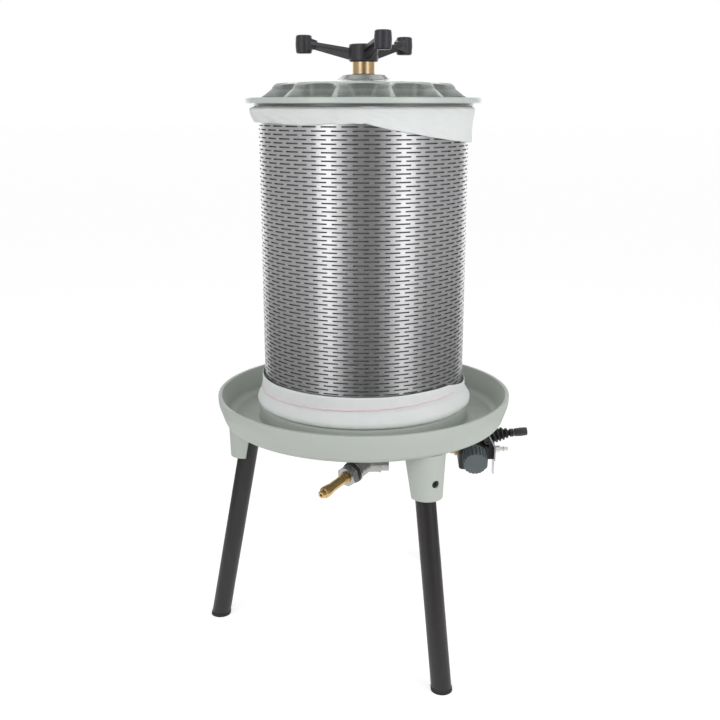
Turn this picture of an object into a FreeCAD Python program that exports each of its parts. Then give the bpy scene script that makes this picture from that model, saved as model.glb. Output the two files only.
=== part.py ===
import FreeCAD, Part
import math
import os

# Pneumatic fruit press of the 40 litre class. Millimetres, +Z up.
# The origin is on the spindle's axis at floor level. The front of the press faces -Y.
# An azimuth is counted from -Y towards +X.

V = FreeCAD.Vector
UP = V(0, 0, 1)
ORIGIN = V(0, 0, 0)

# Clearances
RUN_GAP = 0.05        # radial gap of a shaft that turns or slides in its bore
BODY_GAP = 0.3        # gap between pieces that move apart
FIT_GAP = 0.1         # radial gap of pieces that are fixed in each other

# Edges and cutting stock
CAST_EDGE = 1.5       # rounding of a cast edge
CAST_FILLET = 4.0     # rounding where two cast faces meet
TURNED_EDGE = 0.8     # rounding of a turned edge
DRILL_LENGTH = 60.0   # length of a hole that runs right through
PRESS_REACH = 400.0   # half width of a block that takes in the whole press

# Legs and feet
LEG_COUNT = 3
LEG_FIRST_AZIMUTH = 28.3
LEG_TOP_INSET = 43.9         # leg axis in from the tray's foot corner, at the tray's underside
LEG_SPLAY = 10.7             # degrees from the vertical
LEG_TUBE_RADIUS = 16.0
LEG_TUBE_WALL = 2.0
FOOT_CAP_SOLE = 5.0
FOOT_CAP_LIP = 0.8
FOOT_CAP_PLUG = 22.0

# Tray
TRAY_RIM_RADIUS = 241.0
TRAY_RIM_RISE = 14.0         # rim above the platform
TRAY_FLARE = 12.0            # how far the wall leans out from foot to rim
TRAY_LIP_WIDTH = 1.5         # rim thicker than the wall
TRAY_LIP_HEIGHT = 12.0       # upright part of the wall
TRAY_BOWL_FILLET = 40.0
TRAY_WALL = 4.5
TRAY_FLOOR = 5.0             # floor of the juice channel
TRAY_CORNER = 15.0
CHANNEL_DEPTH = 28.0         # platform top down to the juice channel's floor
PLATFORM_HEIGHT = 408.0
PLATFORM_MARGIN = 10.0       # platform's edge beyond the basket
TRAY_BOSS_RADIUS = 34.0
TRAY_BOSS_DEPTH = 20.0
TRAY_RIB_COUNT = 6
TRAY_RIB_WIDTH = 5.0
TRAY_RIB_DROP = 18.0

# Leg sockets, cast on the tray
SOCKET_LENGTH = 71.0         # below the tray's foot
SOCKET_TOP_WIDTH = 61.0
SOCKET_BOTTOM_WIDTH = 50.0
SOCKET_TAPER = 2.0           # how much nearer the axis its outer face is at the bottom
SCREW_RISE = 28.0            # above the socket's bottom
SCREW_HEAD_RADIUS = 6.0
SCREW_HEAD_LENGTH = 4.0
SCREW_SHANK_RADIUS = 3.0
SCREW_RECESS = 2.0
SCREW_BITE = 1.0             # overlap of a screw's shank with its head

# Juice outlet
OUTLET_RADIUS = 13.5         # shank in the tray's boss
OUTLET_PIPE_RADIUS = 14.5    # pipe below the boss
OUTLET_BORE_RADIUS = 11.0
OUTLET_DROP = 45.0           # below the tray's foot
OUTLET_BOSS_RADIUS = 19.0
OUTLET_BOSS_DEPTH = 12.0

# Spindle
SPINDLE_PIPE_RADIUS = 13.5
SPINDLE_BORE_RADIUS = 4.0
SPINDLE_SCREW_RADIUS = 10.0
SPINDLE_TAIL = 77.0          # below the platform
SPINDLE_SHOULDER_DROP = 13.6  # below the lid's foot
SPINDLE_FLANGE_RADIUS = 34.0
SPINDLE_FLANGE_THICKNESS = 6.0
SPINDLE_SEAL_THICKNESS = 2.0
SPINDLE_NUT_FLATS = 46.0
SPINDLE_NUT_HEIGHT = 16.0
SPINDLE_PORT_RADIUS = 2.5

# Bladder
BLADDER_RADIUS = 60.0
BLADDER_WALL = 4.0
BLADDER_NECK_LENGTH = 18.0
BLADDER_SHOULDER = 16.0
BLADDER_BOTTOM_GAP = 4.0
BLADDER_TOP_GAP = 8.0
BLADDER_FILLET = 2.0
CLAMP_THICKNESS = 2.0
CLAMP_HEIGHT = 10.0

# Basket
BASKET_RADIUS = 163.0
BASKET_SHEET = 1.5
BASKET_HEIGHT = 469.0
SLOT_ROWS = 24
SLOTS_PER_ROW = 11
SLOT_LENGTH_SHARE = 0.74     # slot length as a share of the pitch round the basket
SLOT_HEIGHT = 4.5
SLOT_BAND_BOTTOM = 34.0      # plain band at the basket's foot
SLOT_BAND_TOP = 30.0
SLOT_CUT_MARGIN = 5.0        # how far a slot's cutter stands proud of the sheet
HOOP_HEIGHT = 15.0
HOOP_THICKNESS = 2.0

# Press cloth
CLOTH_THICKNESS = 1.0
BOTTOM_CUFF_HEIGHT = 50.0
BOTTOM_CUFF_REACH = 15.0     # bulge beyond the basket
BOTTOM_CUFF_THICKNESS = 2.3  # layers of cloth at its upper edge
BOTTOM_CUFF_HEM = 24.0
CUFF_FOLD = 6.0              # size of the roll at its foot
TOP_CUFF_THICKNESS = 3.0
TOP_CUFF_PUFF = 8.0          # how far the fold stands out beyond the flap
TOP_CUFF_PUFF_DROP = 22.0
TOP_CUFF_HEIGHT = 22.3       # plain part, from the fold down to its edge
TOP_CUFF_SLANT_DROP = 20.3   # from the fold down to the long flap's edge, at the axis
TOP_CUFF_SLANT = 11.3        # degrees that the long flap's edge falls to the right

# Lid
LID_FLANGE_MARGIN = 21.5     # beyond the basket
LID_FLANGE_THICKNESS = 8.5
LID_REGISTER_MARGIN = 7.0    # beyond the basket
LID_REGISTER_DROP = 3.8
LID_REGISTER_WIDTH = 22.0
LID_DOME_INSET = 5.0         # dome's foot in from the basket
LID_DOME_SLOPE = 17.0        # dome's shoulder in from its foot
LID_SHOULDER_FILLET = 12.0
LID_DOME_RISE = 21.5
LID_CROWN_RISE = 26.3
LID_BOSS_FOOT_RADIUS = 42.0
LID_BOSS_RADIUS = 33.0
LID_BOSS_RISE = 34.0
LID_WALL = 7.0
LID_FLOOR_WALL = 6.5
LID_POCKET_WALL = 9.0        # between a pocket's back and the hollow
LID_HUB_RADIUS = 26.0
LID_POCKET_COUNT = 12
LID_RIB_WIDTH = 12.0         # between two pockets, at their foot
LID_RIB_DRAFT = 3.5          # how far each side of a pocket leans, over its height
LID_POCKET_FILLET = 9.0
LID_POCKET_SIDE_DEPTH = 18.0
LID_POCKET_BACK_DEPTH = 32.0
GASKET_INSET = 5.0           # inner edge in from the basket
GASKET_WIDTH = 9.0
GASKET_THICKNESS = 2.5
LID_BUSH_WALL = 4.0
LID_BUSH_LENGTH = 22.0
LID_POCKET_MARGIN = 8.0      # how far a pocket's cutter reaches past the dome's foot

# Nut and handle
WASHER_RADIUS = 21.0
WASHER_THICKNESS = 2.0
COLLAR_RADIUS = 17.5
COLLAR_HEIGHT = 18.5
NUT_STUB_RADIUS = 14.0
NUT_STUB_HEIGHT = 20.0
NUT_ROOF = 5.0               # from the screw's end up to the stub's top
NUT_ROOF_GAP = 1.5           # room above the end of the screw
HUB_RADIUS = 22.5
HUB_HEIGHT = 26.0
HANDLE_FIRST_AZIMUTH = 17.0
HANDLE_ARM_COUNT = 3
HANDLE_REACH = 95.0
KNOB_RADIUS = 13.2
KNOB_HEIGHT = 27.5
KNOB_RISE = 13.0             # knob's foot above the hub's foot
ARM_FLANGE_WIDTH = 15.0
ARM_FLANGE_THICKNESS = 5.5
ARM_WEB_THICKNESS = 6.0
ARM_ROOT_HEIGHT = 19.0
ARM_TIP_HEIGHT = 10.5
ARM_FLARE_LENGTH = 8.0       # gusset between arm and knob
ARM_FLARE_WIDTH = 21.0
ARM_FLARE_HEIGHT = 21.0
HANDLE_PIN_RADIUS = 2.5
KNOB_CROWN_RADIUS = 20.0
KNOB_EDGE = 3.0
KNOB_BARREL = 1.0            # how much slimmer a knob is at its ends
HUB_EDGE = 2.5
ARM_TOP_SINK = 7.0           # from the hub's top down to the arms' top
ARM_TIP_SINK = 8.5           # from a knob's top down to the arm's top

# Branch valve under the spindle
VALVE_DROP = 41.0            # below the spindle's end
VALVE_RADIUS = 16.0
VALVE_NECK_RADIUS = 19.0
VALVE_NECK_GRIP = 12.0       # overlap with the spindle
VALVE_RUN_RIGHT = 30.0
VALVE_RUN_LEFT = 15.0
VALVE_BAND_PROUD = 1.0
VALVE_BAND_WIDTH = 3.0
STUB_RADIUS = 14.0
STUB_LENGTH = 13.0
STUB_PLUG_RADIUS = 10.5
STUB_PLUG_LENGTH = 3.0
STUB_PLUG_RECESS = 4.2
BRANCH_DIRECTION = V(-0.584, -0.800, -0.144)
BRANCH_BODY_LENGTH = 34.0
BRANCH_RING_RADIUS = 19.0
BRANCH_RING_LENGTH = 4.0
BRANCH_SEAL_RADIUS = 18.0
BRANCH_SEAL_LENGTH = 5.0
BRANCH_NUT_FLATS = 32.0
BRANCH_NUT_LENGTH = 15.0
NOZZLE_SHANK_RADIUS = 8.0
NOZZLE_SHANK_SINK = 12.0
NOZZLE_COLLAR_RADIUS = 11.5
NOZZLE_COLLAR_LENGTH = 4.0
NOZZLE_TUBE_LENGTH = 36.0
NOZZLE_BARB_RADIUS = 9.4
NOZZLE_BARB_LENGTH = 12.0
NOZZLE_NOSE_RADIUS = 6.0
NOZZLE_NOSE_LENGTH = 15.0
NOZZLE_BORE_RADIUS = 2.2
NOZZLE_BEVEL = 1.5

# Air line
AIR_RISE = 25.0              # air line above the valve
AIR_PIPE_RADIUS = 4.0
NECK_FITTING_RADIUS = 7.0
NECK_FITTING_LENGTH = 12.0
PORT_FITTING_FLATS = 21.0
PORT_SLEEVE_RADIUS = 8.0
PORT_THREAD_RADIUS = 5.5
PORT_FITTING_LENGTH = 14.0
FITTING_SINK = 5.0
AIR_PIPE_WALL = 1.25
AIR_WAY_RADIUS = 3.0         # drilled air ways in valve and regulator
THREAD_DEPTH = 2.0           # from a fitting's collar in to its thread

# Regulator
REGULATOR_STANDOFF = 33.4    # in from the bracket
REGULATOR_TILT = 15.0
REGULATOR_WIDTH = 49.0
REGULATOR_DEPTH = 34.0
REGULATOR_TOP = 16.0
REGULATOR_BOTTOM = 31.0
REGULATOR_EDGE = 7.0
REGULATOR_GROOVE = 2.0
REGULATOR_GROOVE_INSET = 4.0
REGULATOR_DRAIN_RADIUS = 7.0
REGULATOR_DRAIN_LENGTH = 4.0
BONNET_RADIUS = 16.5
BONNET_LENGTH = 10.0
HUB_SHAFT_RADIUS = 8.0
HUB_SHAFT_LENGTH = 17.0
DIAL_RADIUS = 21.0
DIAL_WALL = 3.0
DIAL_FACE = 4.0
DIAL_TAPER = 0.4
DIAL_LENGTH = 27.0
DIAL_PULL = 3.5              # travel from locked to free
DETENT_WIDTH = 1.2
DETENT_DEPTH = 0.5
DIAL_FLUTES = 20
DIAL_FLUTE_RADIUS = 2.0
DIAL_BOSS_RADIUS = 11.0

# Bracket and hand valve
BRACKET_INSET = 21.5         # left face of its upright in from the tray's rim
BRACKET_THICKNESS = 2.5
BRACKET_DROP = 43.0          # below the air line
BRACKET_BEND_RISE = 11.0     # above the air line
BRACKET_WIDTH = 44.0
BRACKET_TONGUE_WIDTH = 14.0  # the upright below the hand valve
FLANGE_TILT = 28.0           # the flange's normal above the horizontal
FLANGE_LENGTH = 34.0
FOOT_PLATE_LENGTH = 24.0
BRACKET_SCREW_RADIUS = 2.5
BRACKET_SCREW_HEAD = 4.5
VALVE_BLOCK_WIDTH = 26.0
VALVE_BLOCK_LENGTH = 8.5     # in from the bracket
VALVE_BLOCK_DROP = 14.0      # below the air line
VALVE_BLOCK_DEPTH = 12.0     # below the flange, along its normal
VALVE_BLOCK_MARGIN = 4.0     # from the block's end to the flange's end
VALVE_BLOCK_SLOPE = 0.9
PORT_PLUG_RADIUS = 5.5
PORT_PLUG_LENGTH = 4.0
PORT_PLUG_RISE = 13.6        # up the flange from its bend
INLET_RADIUS = 5.5
INLET_COLLAR_RADIUS = 6.0
INLET_LENGTH = 15.0
INLET_TIP_RADIUS = 3.3
INLET_TIP_LENGTH = 9.0
INLET_BEAD_RADIUS = 4.9
INLET_GROOVE = 3.0

# Lever and boot
BUSHING_RADIUS = 8.0
BUSHING_RISE = 4.0
LEVER_THROW = 22.0           # degrees each side of the flange's normal
LEVER_BALL_RADIUS = 4.0
LEVER_RADIUS = 2.5
LEVER_ROD_LENGTH = 58.0
LEVER_LENGTH = 65.0          # ball's centre to the knob's end
LEVER_KNOB_RADIUS = 7.4
LEVER_KNOB_LENGTH = 22.0
LEVER_KNOB_BARREL = 0.6
BOOT_ROOT_RADII = [17.0, 14.5, 13.0, 11.5, 9.0, 7.0]
BOOT_PITCH = 7.2
BOOT_FOLD_DEPTH = 3.0
BOOT_START = 2.0
BOOT_BORE_RADIUS = 3.1
BOOT_CREST_SHARE = 0.45      # share of a fold's pitch that its crest takes
BOOT_VALLEY_SHARE = 0.72
BOOT_CREST_SLOPE = 0.6
LEVER_MOUTH_ROOM = 6.0       # degrees of room beside the lever in the bushing

# Worked out from the above
PLATFORM_RADIUS = BASKET_RADIUS + PLATFORM_MARGIN
CHANNEL_FLOOR = PLATFORM_HEIGHT - CHANNEL_DEPTH
TRAY_FOOT_HEIGHT = CHANNEL_FLOOR - TRAY_FLOOR
TRAY_RIM_HEIGHT = PLATFORM_HEIGHT + TRAY_RIM_RISE
TRAY_FOOT_RADIUS = TRAY_RIM_RADIUS - TRAY_FLARE
TRAY_INNER_FOOT = TRAY_FOOT_RADIUS - TRAY_WALL
CHANNEL_MIDDLE = (PLATFORM_RADIUS + TRAY_INNER_FOOT) / 2
OUTLET_BOTTOM = TRAY_FOOT_HEIGHT - OUTLET_DROP
LEG_LEAN = math.tan(math.radians(LEG_SPLAY))
LEG_FOOT_RADIUS = TRAY_FOOT_RADIUS - LEG_TOP_INSET + TRAY_FOOT_HEIGHT * LEG_LEAN
LEG_STOCK_LENGTH = PLATFORM_HEIGHT / math.cos(math.radians(LEG_SPLAY)) + LEG_TUBE_RADIUS
SOCKET_BOTTOM = TRAY_FOOT_HEIGHT - SOCKET_LENGTH
SOCKET_BOTTOM_REACH = TRAY_FOOT_RADIUS - SOCKET_TAPER
SCREW_HEIGHT = SOCKET_BOTTOM + SCREW_RISE
SCREW_SEAT = SOCKET_BOTTOM_REACH - SCREW_HEAD_LENGTH - SCREW_RECESS
BASKET_FOOT = PLATFORM_HEIGHT + BODY_GAP + CLOTH_THICKNESS
BASKET_RIM = BASKET_FOOT + BASKET_HEIGHT
BASKET_INNER = BASKET_RADIUS - BASKET_SHEET
CLOTH_TOP = BASKET_RIM + CLOTH_THICKNESS
LID_FOOT = CLOTH_TOP + BODY_GAP
LID_FLANGE_BOTTOM = LID_FOOT + LID_REGISTER_DROP
LID_FLANGE_TOP = LID_FLANGE_BOTTOM + LID_FLANGE_THICKNESS
LID_BOSS_TOP = LID_FLANGE_TOP + LID_BOSS_RISE
LID_FLANGE_RADIUS = BASKET_RADIUS + LID_FLANGE_MARGIN
LID_REGISTER_RADIUS = BASKET_RADIUS + LID_REGISTER_MARGIN
LID_REGISTER_INNER = LID_REGISTER_RADIUS - LID_REGISTER_WIDTH
LID_DOME_FOOT_RADIUS = BASKET_RADIUS - LID_DOME_INSET
LID_DOME_SHOULDER_RADIUS = LID_DOME_FOOT_RADIUS - LID_DOME_SLOPE
LID_POCKET_SIDE_RADIUS = LID_DOME_FOOT_RADIUS - LID_POCKET_SIDE_DEPTH
LID_POCKET_BACK_RADIUS = LID_DOME_FOOT_RADIUS - LID_POCKET_BACK_DEPTH
LID_POCKET_WIDTH = (2 * LID_DOME_SHOULDER_RADIUS * math.sin(math.pi / LID_POCKET_COUNT)
                    - LID_RIB_WIDTH)
LID_CAVITY_RADIUS = LID_POCKET_BACK_RADIUS - LID_POCKET_WALL
GASKET_INNER = BASKET_RADIUS - GASKET_INSET
GASKET_OUTER = GASKET_INNER + GASKET_WIDTH
WASHER_BOTTOM = LID_BOSS_TOP + BODY_GAP - WASHER_THICKNESS
COLLAR_BOTTOM = WASHER_BOTTOM + WASHER_THICKNESS + BODY_GAP
HUB_BOTTOM = COLLAR_BOTTOM + COLLAR_HEIGHT
SPINDLE_BOTTOM = PLATFORM_HEIGHT - SPINDLE_TAIL
SPINDLE_SHOULDER = LID_FOOT - SPINDLE_SHOULDER_DROP
SPINDLE_TOP = HUB_BOTTOM + NUT_STUB_HEIGHT - NUT_ROOF
VALVE_HEIGHT = SPINDLE_BOTTOM - VALVE_DROP
VALVE_NECK_TOP = SPINDLE_BOTTOM + VALVE_NECK_GRIP
AIR_HEIGHT = VALVE_HEIGHT + AIR_RISE
BRACKET_X = TRAY_RIM_RADIUS - BRACKET_INSET
BRACKET_BOTTOM = AIR_HEIGHT - BRACKET_DROP
BRACKET_BEND = AIR_HEIGHT + BRACKET_BEND_RISE
VALVE_BLOCK_LEFT = BRACKET_X - VALVE_BLOCK_LENGTH
VALVE_BLOCK_BOTTOM = AIR_HEIGHT - VALVE_BLOCK_DROP
REGULATOR_X = BRACKET_X - REGULATOR_STANDOFF
LID_BUSH_OUTER = SPINDLE_SCREW_RADIUS + RUN_GAP + BODY_GAP + LID_BUSH_WALL
VALVE_CENTRE = V(4, 0, VALVE_HEIGHT)


def rounded_profile(points):
    """Closed face in the XZ plane through (x, z, corner radius) points."""
    count = len(points)
    edges = []
    ends = []
    for i in range(count):
        here = V(points[i][0], 0, points[i][1])
        before = V(points[i - 1][0], 0, points[i - 1][1])
        after = V(points[(i + 1) % count][0], 0, points[(i + 1) % count][1])
        radius = points[i][2] if len(points[i]) > 2 else 0
        if radius == 0:
            ends.append((here, None, here))
            continue
        back = (before - here).normalize()
        ahead = (after - here).normalize()
        half = math.acos(max(-1.0, min(1.0, back.dot(ahead)))) / 2
        run = radius / math.tan(half)
        middle_way = (back + ahead).normalize()
        centre = here + middle_way * (radius / math.sin(half))
        ends.append((here + back * run, centre - middle_way * radius, here + ahead * run))
    for i in range(count):
        start, middle, stop = ends[i]
        if middle is not None:
            edges.append(Part.Arc(start, middle, stop).toShape())
        following = ends[(i + 1) % count][0]
        if (following - stop).Length > 1e-6:
            edges.append(Part.LineSegment(stop, following).toShape())
    return Part.Face(Part.Wire(edges))


def turned(points):
    """Solid turned about Z from (radius, height, corner radius) points."""
    return rounded_profile(points).revolve(ORIGIN, UP, 360)


def ring(inner, outer, bottom, top, corner=0):
    """Plain ring or, with inner 0, a plain disc."""
    if inner == 0:
        return turned([(0, bottom), (outer, bottom, corner), (outer, top, corner), (0, top)])
    return turned([(inner, bottom), (outer, bottom, corner), (outer, top, corner), (inner, top)])


def rod(radius, start, direction, length):
    return Part.makeCylinder(radius, length, start, direction)


def hexagon(flats, bottom, height):
    """Hexagonal prism about Z with its top and bottom corners turned off."""
    corner = flats / math.sqrt(3)
    points = [V(corner * math.cos(math.radians(a)), corner * math.sin(math.radians(a)), bottom)
              for a in range(0, 361, 60)]
    prism = Part.Face(Part.makePolygon(points)).extrude(V(0, 0, height))
    chamfer = corner - flats / 2
    barrel = turned([(0, bottom), (corner - chamfer, bottom), (corner, bottom + chamfer),
                     (corner, bottom + height - chamfer), (corner - chamfer, bottom + height),
                     (0, bottom + height)])
    return prism.common(barrel)


def slab(bottom, top):
    """Level slab as wide as the whole press, that trims what leans."""
    corner = V(-PRESS_REACH, -PRESS_REACH, bottom)
    return Part.makeBox(2 * PRESS_REACH, 2 * PRESS_REACH, top - bottom, corner)


def around(azimuth, radius, height):
    """Point at an azimuth, a radius and a height."""
    a = math.radians(azimuth)
    return V(radius * math.sin(a), -radius * math.cos(a), height)


def turned_to(shape, azimuth):
    """Copy of a shape drawn at azimuth 0, turned about Z to another azimuth."""
    copy = shape.copy()
    copy.rotate(ORIGIN, UP, azimuth)
    return copy


def placed_along(shape, start, direction):
    """Copy of a shape drawn up the Z axis, moved to start and laid along a direction."""
    copy = shape.copy()
    turn = FreeCAD.Rotation(UP, direction)
    copy.Placement = FreeCAD.Placement(start, turn).multiply(copy.Placement)
    return copy


def leg_azimuths():
    return [LEG_FIRST_AZIMUTH + i * 360.0 / LEG_COUNT for i in range(LEG_COUNT)]


def leg_direction(azimuth):
    """Unit vector up a leg."""
    lean = math.radians(LEG_SPLAY)
    inward = around(azimuth, -1, 0)
    return inward * math.sin(lean) + UP * math.cos(lean)


def leg_radius_at(height):
    return LEG_FOOT_RADIUS - height * LEG_LEAN


def socket_screw(azimuth, radius, start_inside, length):
    """Round rod that runs outwards through a socket, at the screw's height."""
    start = around(azimuth, start_inside, SCREW_HEIGHT)
    return rod(radius, start, around(azimuth, 1, 0), length)


def make_leg(azimuth):
    foot = around(azimuth, LEG_FOOT_RADIUS, 0)
    direction = leg_direction(azimuth)
    start = foot - direction * LEG_TUBE_RADIUS
    tube = rod(LEG_TUBE_RADIUS, start, direction, LEG_STOCK_LENGTH)
    tube = tube.cut(rod(LEG_TUBE_RADIUS - LEG_TUBE_WALL, start, direction, LEG_STOCK_LENGTH))
    tube = tube.common(slab(FOOT_CAP_SOLE, TRAY_FOOT_HEIGHT - BODY_GAP))
    return tube.cut(socket_screw(azimuth, SCREW_SHANK_RADIUS, leg_radius_at(SCREW_HEIGHT), DRILL_LENGTH))


def make_foot_cap(azimuth):
    foot = around(azimuth, LEG_FOOT_RADIUS, 0)
    direction = leg_direction(azimuth)
    start = foot - direction * LEG_TUBE_RADIUS
    sole = rod(LEG_TUBE_RADIUS + FOOT_CAP_LIP, start, direction, 2 * LEG_TUBE_RADIUS)
    sole = sole.common(slab(0, FOOT_CAP_SOLE))
    plug = rod(LEG_TUBE_RADIUS - LEG_TUBE_WALL - FIT_GAP, start, direction,
               LEG_TUBE_RADIUS + FOOT_CAP_PLUG)
    plug = plug.common(slab(0, TRAY_FOOT_HEIGHT))
    return sole.fuse(plug).removeSplitter()


def socket_outline(height, width, reach):
    """U-shaped wire in a level plane at azimuth 0, open end towards the spindle."""
    half = width / 2
    inner = leg_radius_at(height)
    left = V(-half, -inner, height)
    right = V(half, -inner, height)
    left_shoulder = V(-half, -(reach - half), height)
    right_shoulder = V(half, -(reach - half), height)
    tip = V(0, -reach, height)
    return Part.Wire([Part.LineSegment(left, left_shoulder).toShape(),
                      Part.Arc(left_shoulder, tip, right_shoulder).toShape(),
                      Part.LineSegment(right_shoulder, right).toShape(),
                      Part.LineSegment(right, left).toShape()])


def make_socket():
    """Leg socket at azimuth 0: a half shell round the outer side of the leg tube."""
    top = TRAY_FOOT_HEIGHT + TRAY_WALL / 2
    low = socket_outline(SOCKET_BOTTOM, SOCKET_BOTTOM_WIDTH, SOCKET_BOTTOM_REACH)
    high = socket_outline(top, SOCKET_TOP_WIDTH, TRAY_FOOT_RADIUS)
    return Part.makeLoft([low, high], True, True)


def make_tray():
    wall = TRAY_WALL
    inner_rim = TRAY_RIM_RADIUS - TRAY_LIP_WIDTH - wall
    under = PLATFORM_HEIGHT - wall
    hole = SPINDLE_PIPE_RADIUS + FIT_GAP
    tray = turned([
        (inner_rim, TRAY_RIM_HEIGHT, CAST_EDGE),
        (TRAY_RIM_RADIUS, TRAY_RIM_HEIGHT, CAST_EDGE),
        (TRAY_RIM_RADIUS, TRAY_RIM_HEIGHT - TRAY_LIP_HEIGHT, TRAY_BOWL_FILLET),
        (TRAY_FOOT_RADIUS, TRAY_FOOT_HEIGHT, TRAY_CORNER),
        (PLATFORM_RADIUS - wall, TRAY_FOOT_HEIGHT, CAST_EDGE),
        (PLATFORM_RADIUS - wall, under, CAST_FILLET),
        (TRAY_BOSS_RADIUS, under, CAST_FILLET),
        (TRAY_BOSS_RADIUS, PLATFORM_HEIGHT - TRAY_BOSS_DEPTH, CAST_EDGE),
        (hole, PLATFORM_HEIGHT - TRAY_BOSS_DEPTH),
        (hole, PLATFORM_HEIGHT),
        (PLATFORM_RADIUS, PLATFORM_HEIGHT, CAST_FILLET),
        (PLATFORM_RADIUS, CHANNEL_FLOOR, CAST_FILLET),
        (TRAY_INNER_FOOT, CHANNEL_FLOOR, TRAY_CORNER - wall / 2),
    ])
    rib_start = TRAY_BOSS_RADIUS - wall / 2
    rib_end = PLATFORM_RADIUS - wall / 2
    rib = Part.makeBox(TRAY_RIB_WIDTH, rib_end - rib_start, TRAY_RIB_DROP + wall / 2,
                       V(-TRAY_RIB_WIDTH / 2, -rib_end, under - TRAY_RIB_DROP))
    ribs = [turned_to(rib, LEG_FIRST_AZIMUTH + i * 360.0 / TRAY_RIB_COUNT)
            for i in range(TRAY_RIB_COUNT)]
    socket = make_socket()
    sockets = [turned_to(socket, a) for a in leg_azimuths()]
    boss = rod(OUTLET_BOSS_RADIUS, V(0, CHANNEL_MIDDLE, TRAY_FOOT_HEIGHT - OUTLET_BOSS_DEPTH), UP,
               OUTLET_BOSS_DEPTH + wall / 2)
    tray = tray.fuse(ribs + sockets + [boss])
    for azimuth in leg_azimuths():
        foot = around(azimuth, LEG_FOOT_RADIUS, 0)
        bore = rod(LEG_TUBE_RADIUS + FIT_GAP, foot, leg_direction(azimuth), LEG_STOCK_LENGTH)
        tray = tray.cut(bore.common(slab(0, TRAY_FOOT_HEIGHT)))
        shank = socket_screw(azimuth, SCREW_SHANK_RADIUS + FIT_GAP, leg_radius_at(SCREW_HEIGHT), DRILL_LENGTH)
        head = socket_screw(azimuth, SCREW_HEAD_RADIUS + FIT_GAP, SCREW_SEAT, DRILL_LENGTH)
        tray = tray.cut([shank, head])
    outlet = rod(OUTLET_RADIUS + FIT_GAP, V(0, CHANNEL_MIDDLE, TRAY_FOOT_HEIGHT - OUTLET_BOSS_DEPTH), UP,
                 PLATFORM_HEIGHT - TRAY_FOOT_HEIGHT)
    return tray.cut(outlet)


def make_leg_screws():
    screws = []
    for azimuth in leg_azimuths():
        inner = leg_radius_at(SCREW_HEIGHT) + LEG_TUBE_RADIUS / 2
        shank = socket_screw(azimuth, SCREW_SHANK_RADIUS, inner, SCREW_SEAT - inner + SCREW_BITE)
        head = socket_screw(azimuth, SCREW_HEAD_RADIUS, SCREW_SEAT, SCREW_HEAD_LENGTH)
        drive_hole = socket_screw(azimuth, SCREW_SHANK_RADIUS, SCREW_SEAT + SCREW_HEAD_LENGTH / 2,
                                  SCREW_HEAD_LENGTH)
        screws.append(head.fuse(shank).cut(drive_hole))
    return Part.makeCompound(screws)


def make_juice_outlet():
    """Pipe whose shoulder stands against the tray's boss, with a thinner shank inside it."""
    shoulder = TRAY_FOOT_HEIGHT - OUTLET_BOSS_DEPTH
    top = CHANNEL_FLOOR - BODY_GAP
    pipe = turned([
        (OUTLET_BORE_RADIUS, OUTLET_BOTTOM),
        (OUTLET_PIPE_RADIUS, OUTLET_BOTTOM, TURNED_EDGE),
        (OUTLET_PIPE_RADIUS, shoulder),
        (OUTLET_RADIUS, shoulder),
        (OUTLET_RADIUS, top),
        (OUTLET_BORE_RADIUS, top),
    ])
    pipe.translate(V(0, CHANNEL_MIDDLE, 0))
    return pipe


def make_spindle():
    flange_bottom = PLATFORM_HEIGHT + SPINDLE_SEAL_THICKNESS
    flange_top = flange_bottom + SPINDLE_FLANGE_THICKNESS
    air_top = (SPINDLE_SHOULDER + PLATFORM_HEIGHT) / 2
    body = turned([
        (SPINDLE_BORE_RADIUS, SPINDLE_BOTTOM),
        (SPINDLE_PIPE_RADIUS, SPINDLE_BOTTOM, TURNED_EDGE),
        (SPINDLE_PIPE_RADIUS, flange_bottom),
        (SPINDLE_FLANGE_RADIUS, flange_bottom),
        (SPINDLE_FLANGE_RADIUS, flange_top, TURNED_EDGE),
        (SPINDLE_PIPE_RADIUS, flange_top),
        (SPINDLE_PIPE_RADIUS, SPINDLE_SHOULDER, TURNED_EDGE),
        (SPINDLE_SCREW_RADIUS, SPINDLE_SHOULDER),
        (SPINDLE_SCREW_RADIUS, SPINDLE_TOP, CAST_EDGE),
        (0, SPINDLE_TOP),
        (0, air_top),
        (SPINDLE_BORE_RADIUS, air_top),
    ])
    for direction in (V(1, 0, 0), V(0, 1, 0)):
        start = V(0, 0, air_top - SPINDLE_FLANGE_RADIUS) - direction * (DRILL_LENGTH / 2)
        body = body.cut(rod(SPINDLE_PORT_RADIUS, start, direction, DRILL_LENGTH))
    return body


def make_spindle_seal():
    return ring(SPINDLE_PIPE_RADIUS, SPINDLE_FLANGE_RADIUS - SPINDLE_SEAL_THICKNESS, PLATFORM_HEIGHT,
                PLATFORM_HEIGHT + SPINDLE_SEAL_THICKNESS)


def make_spindle_nut():
    top = PLATFORM_HEIGHT - TRAY_BOSS_DEPTH
    nut = hexagon(SPINDLE_NUT_FLATS, top - SPINDLE_NUT_HEIGHT, SPINDLE_NUT_HEIGHT)
    return nut.cut(rod(SPINDLE_PIPE_RADIUS, V(0, 0, top - DRILL_LENGTH / 2), UP, DRILL_LENGTH))


def bladder_levels():
    """Bottom and top of the bladder."""
    flange_top = PLATFORM_HEIGHT + SPINDLE_SEAL_THICKNESS + SPINDLE_FLANGE_THICKNESS
    return flange_top + BLADDER_BOTTOM_GAP, SPINDLE_SHOULDER - BLADDER_TOP_GAP


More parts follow.
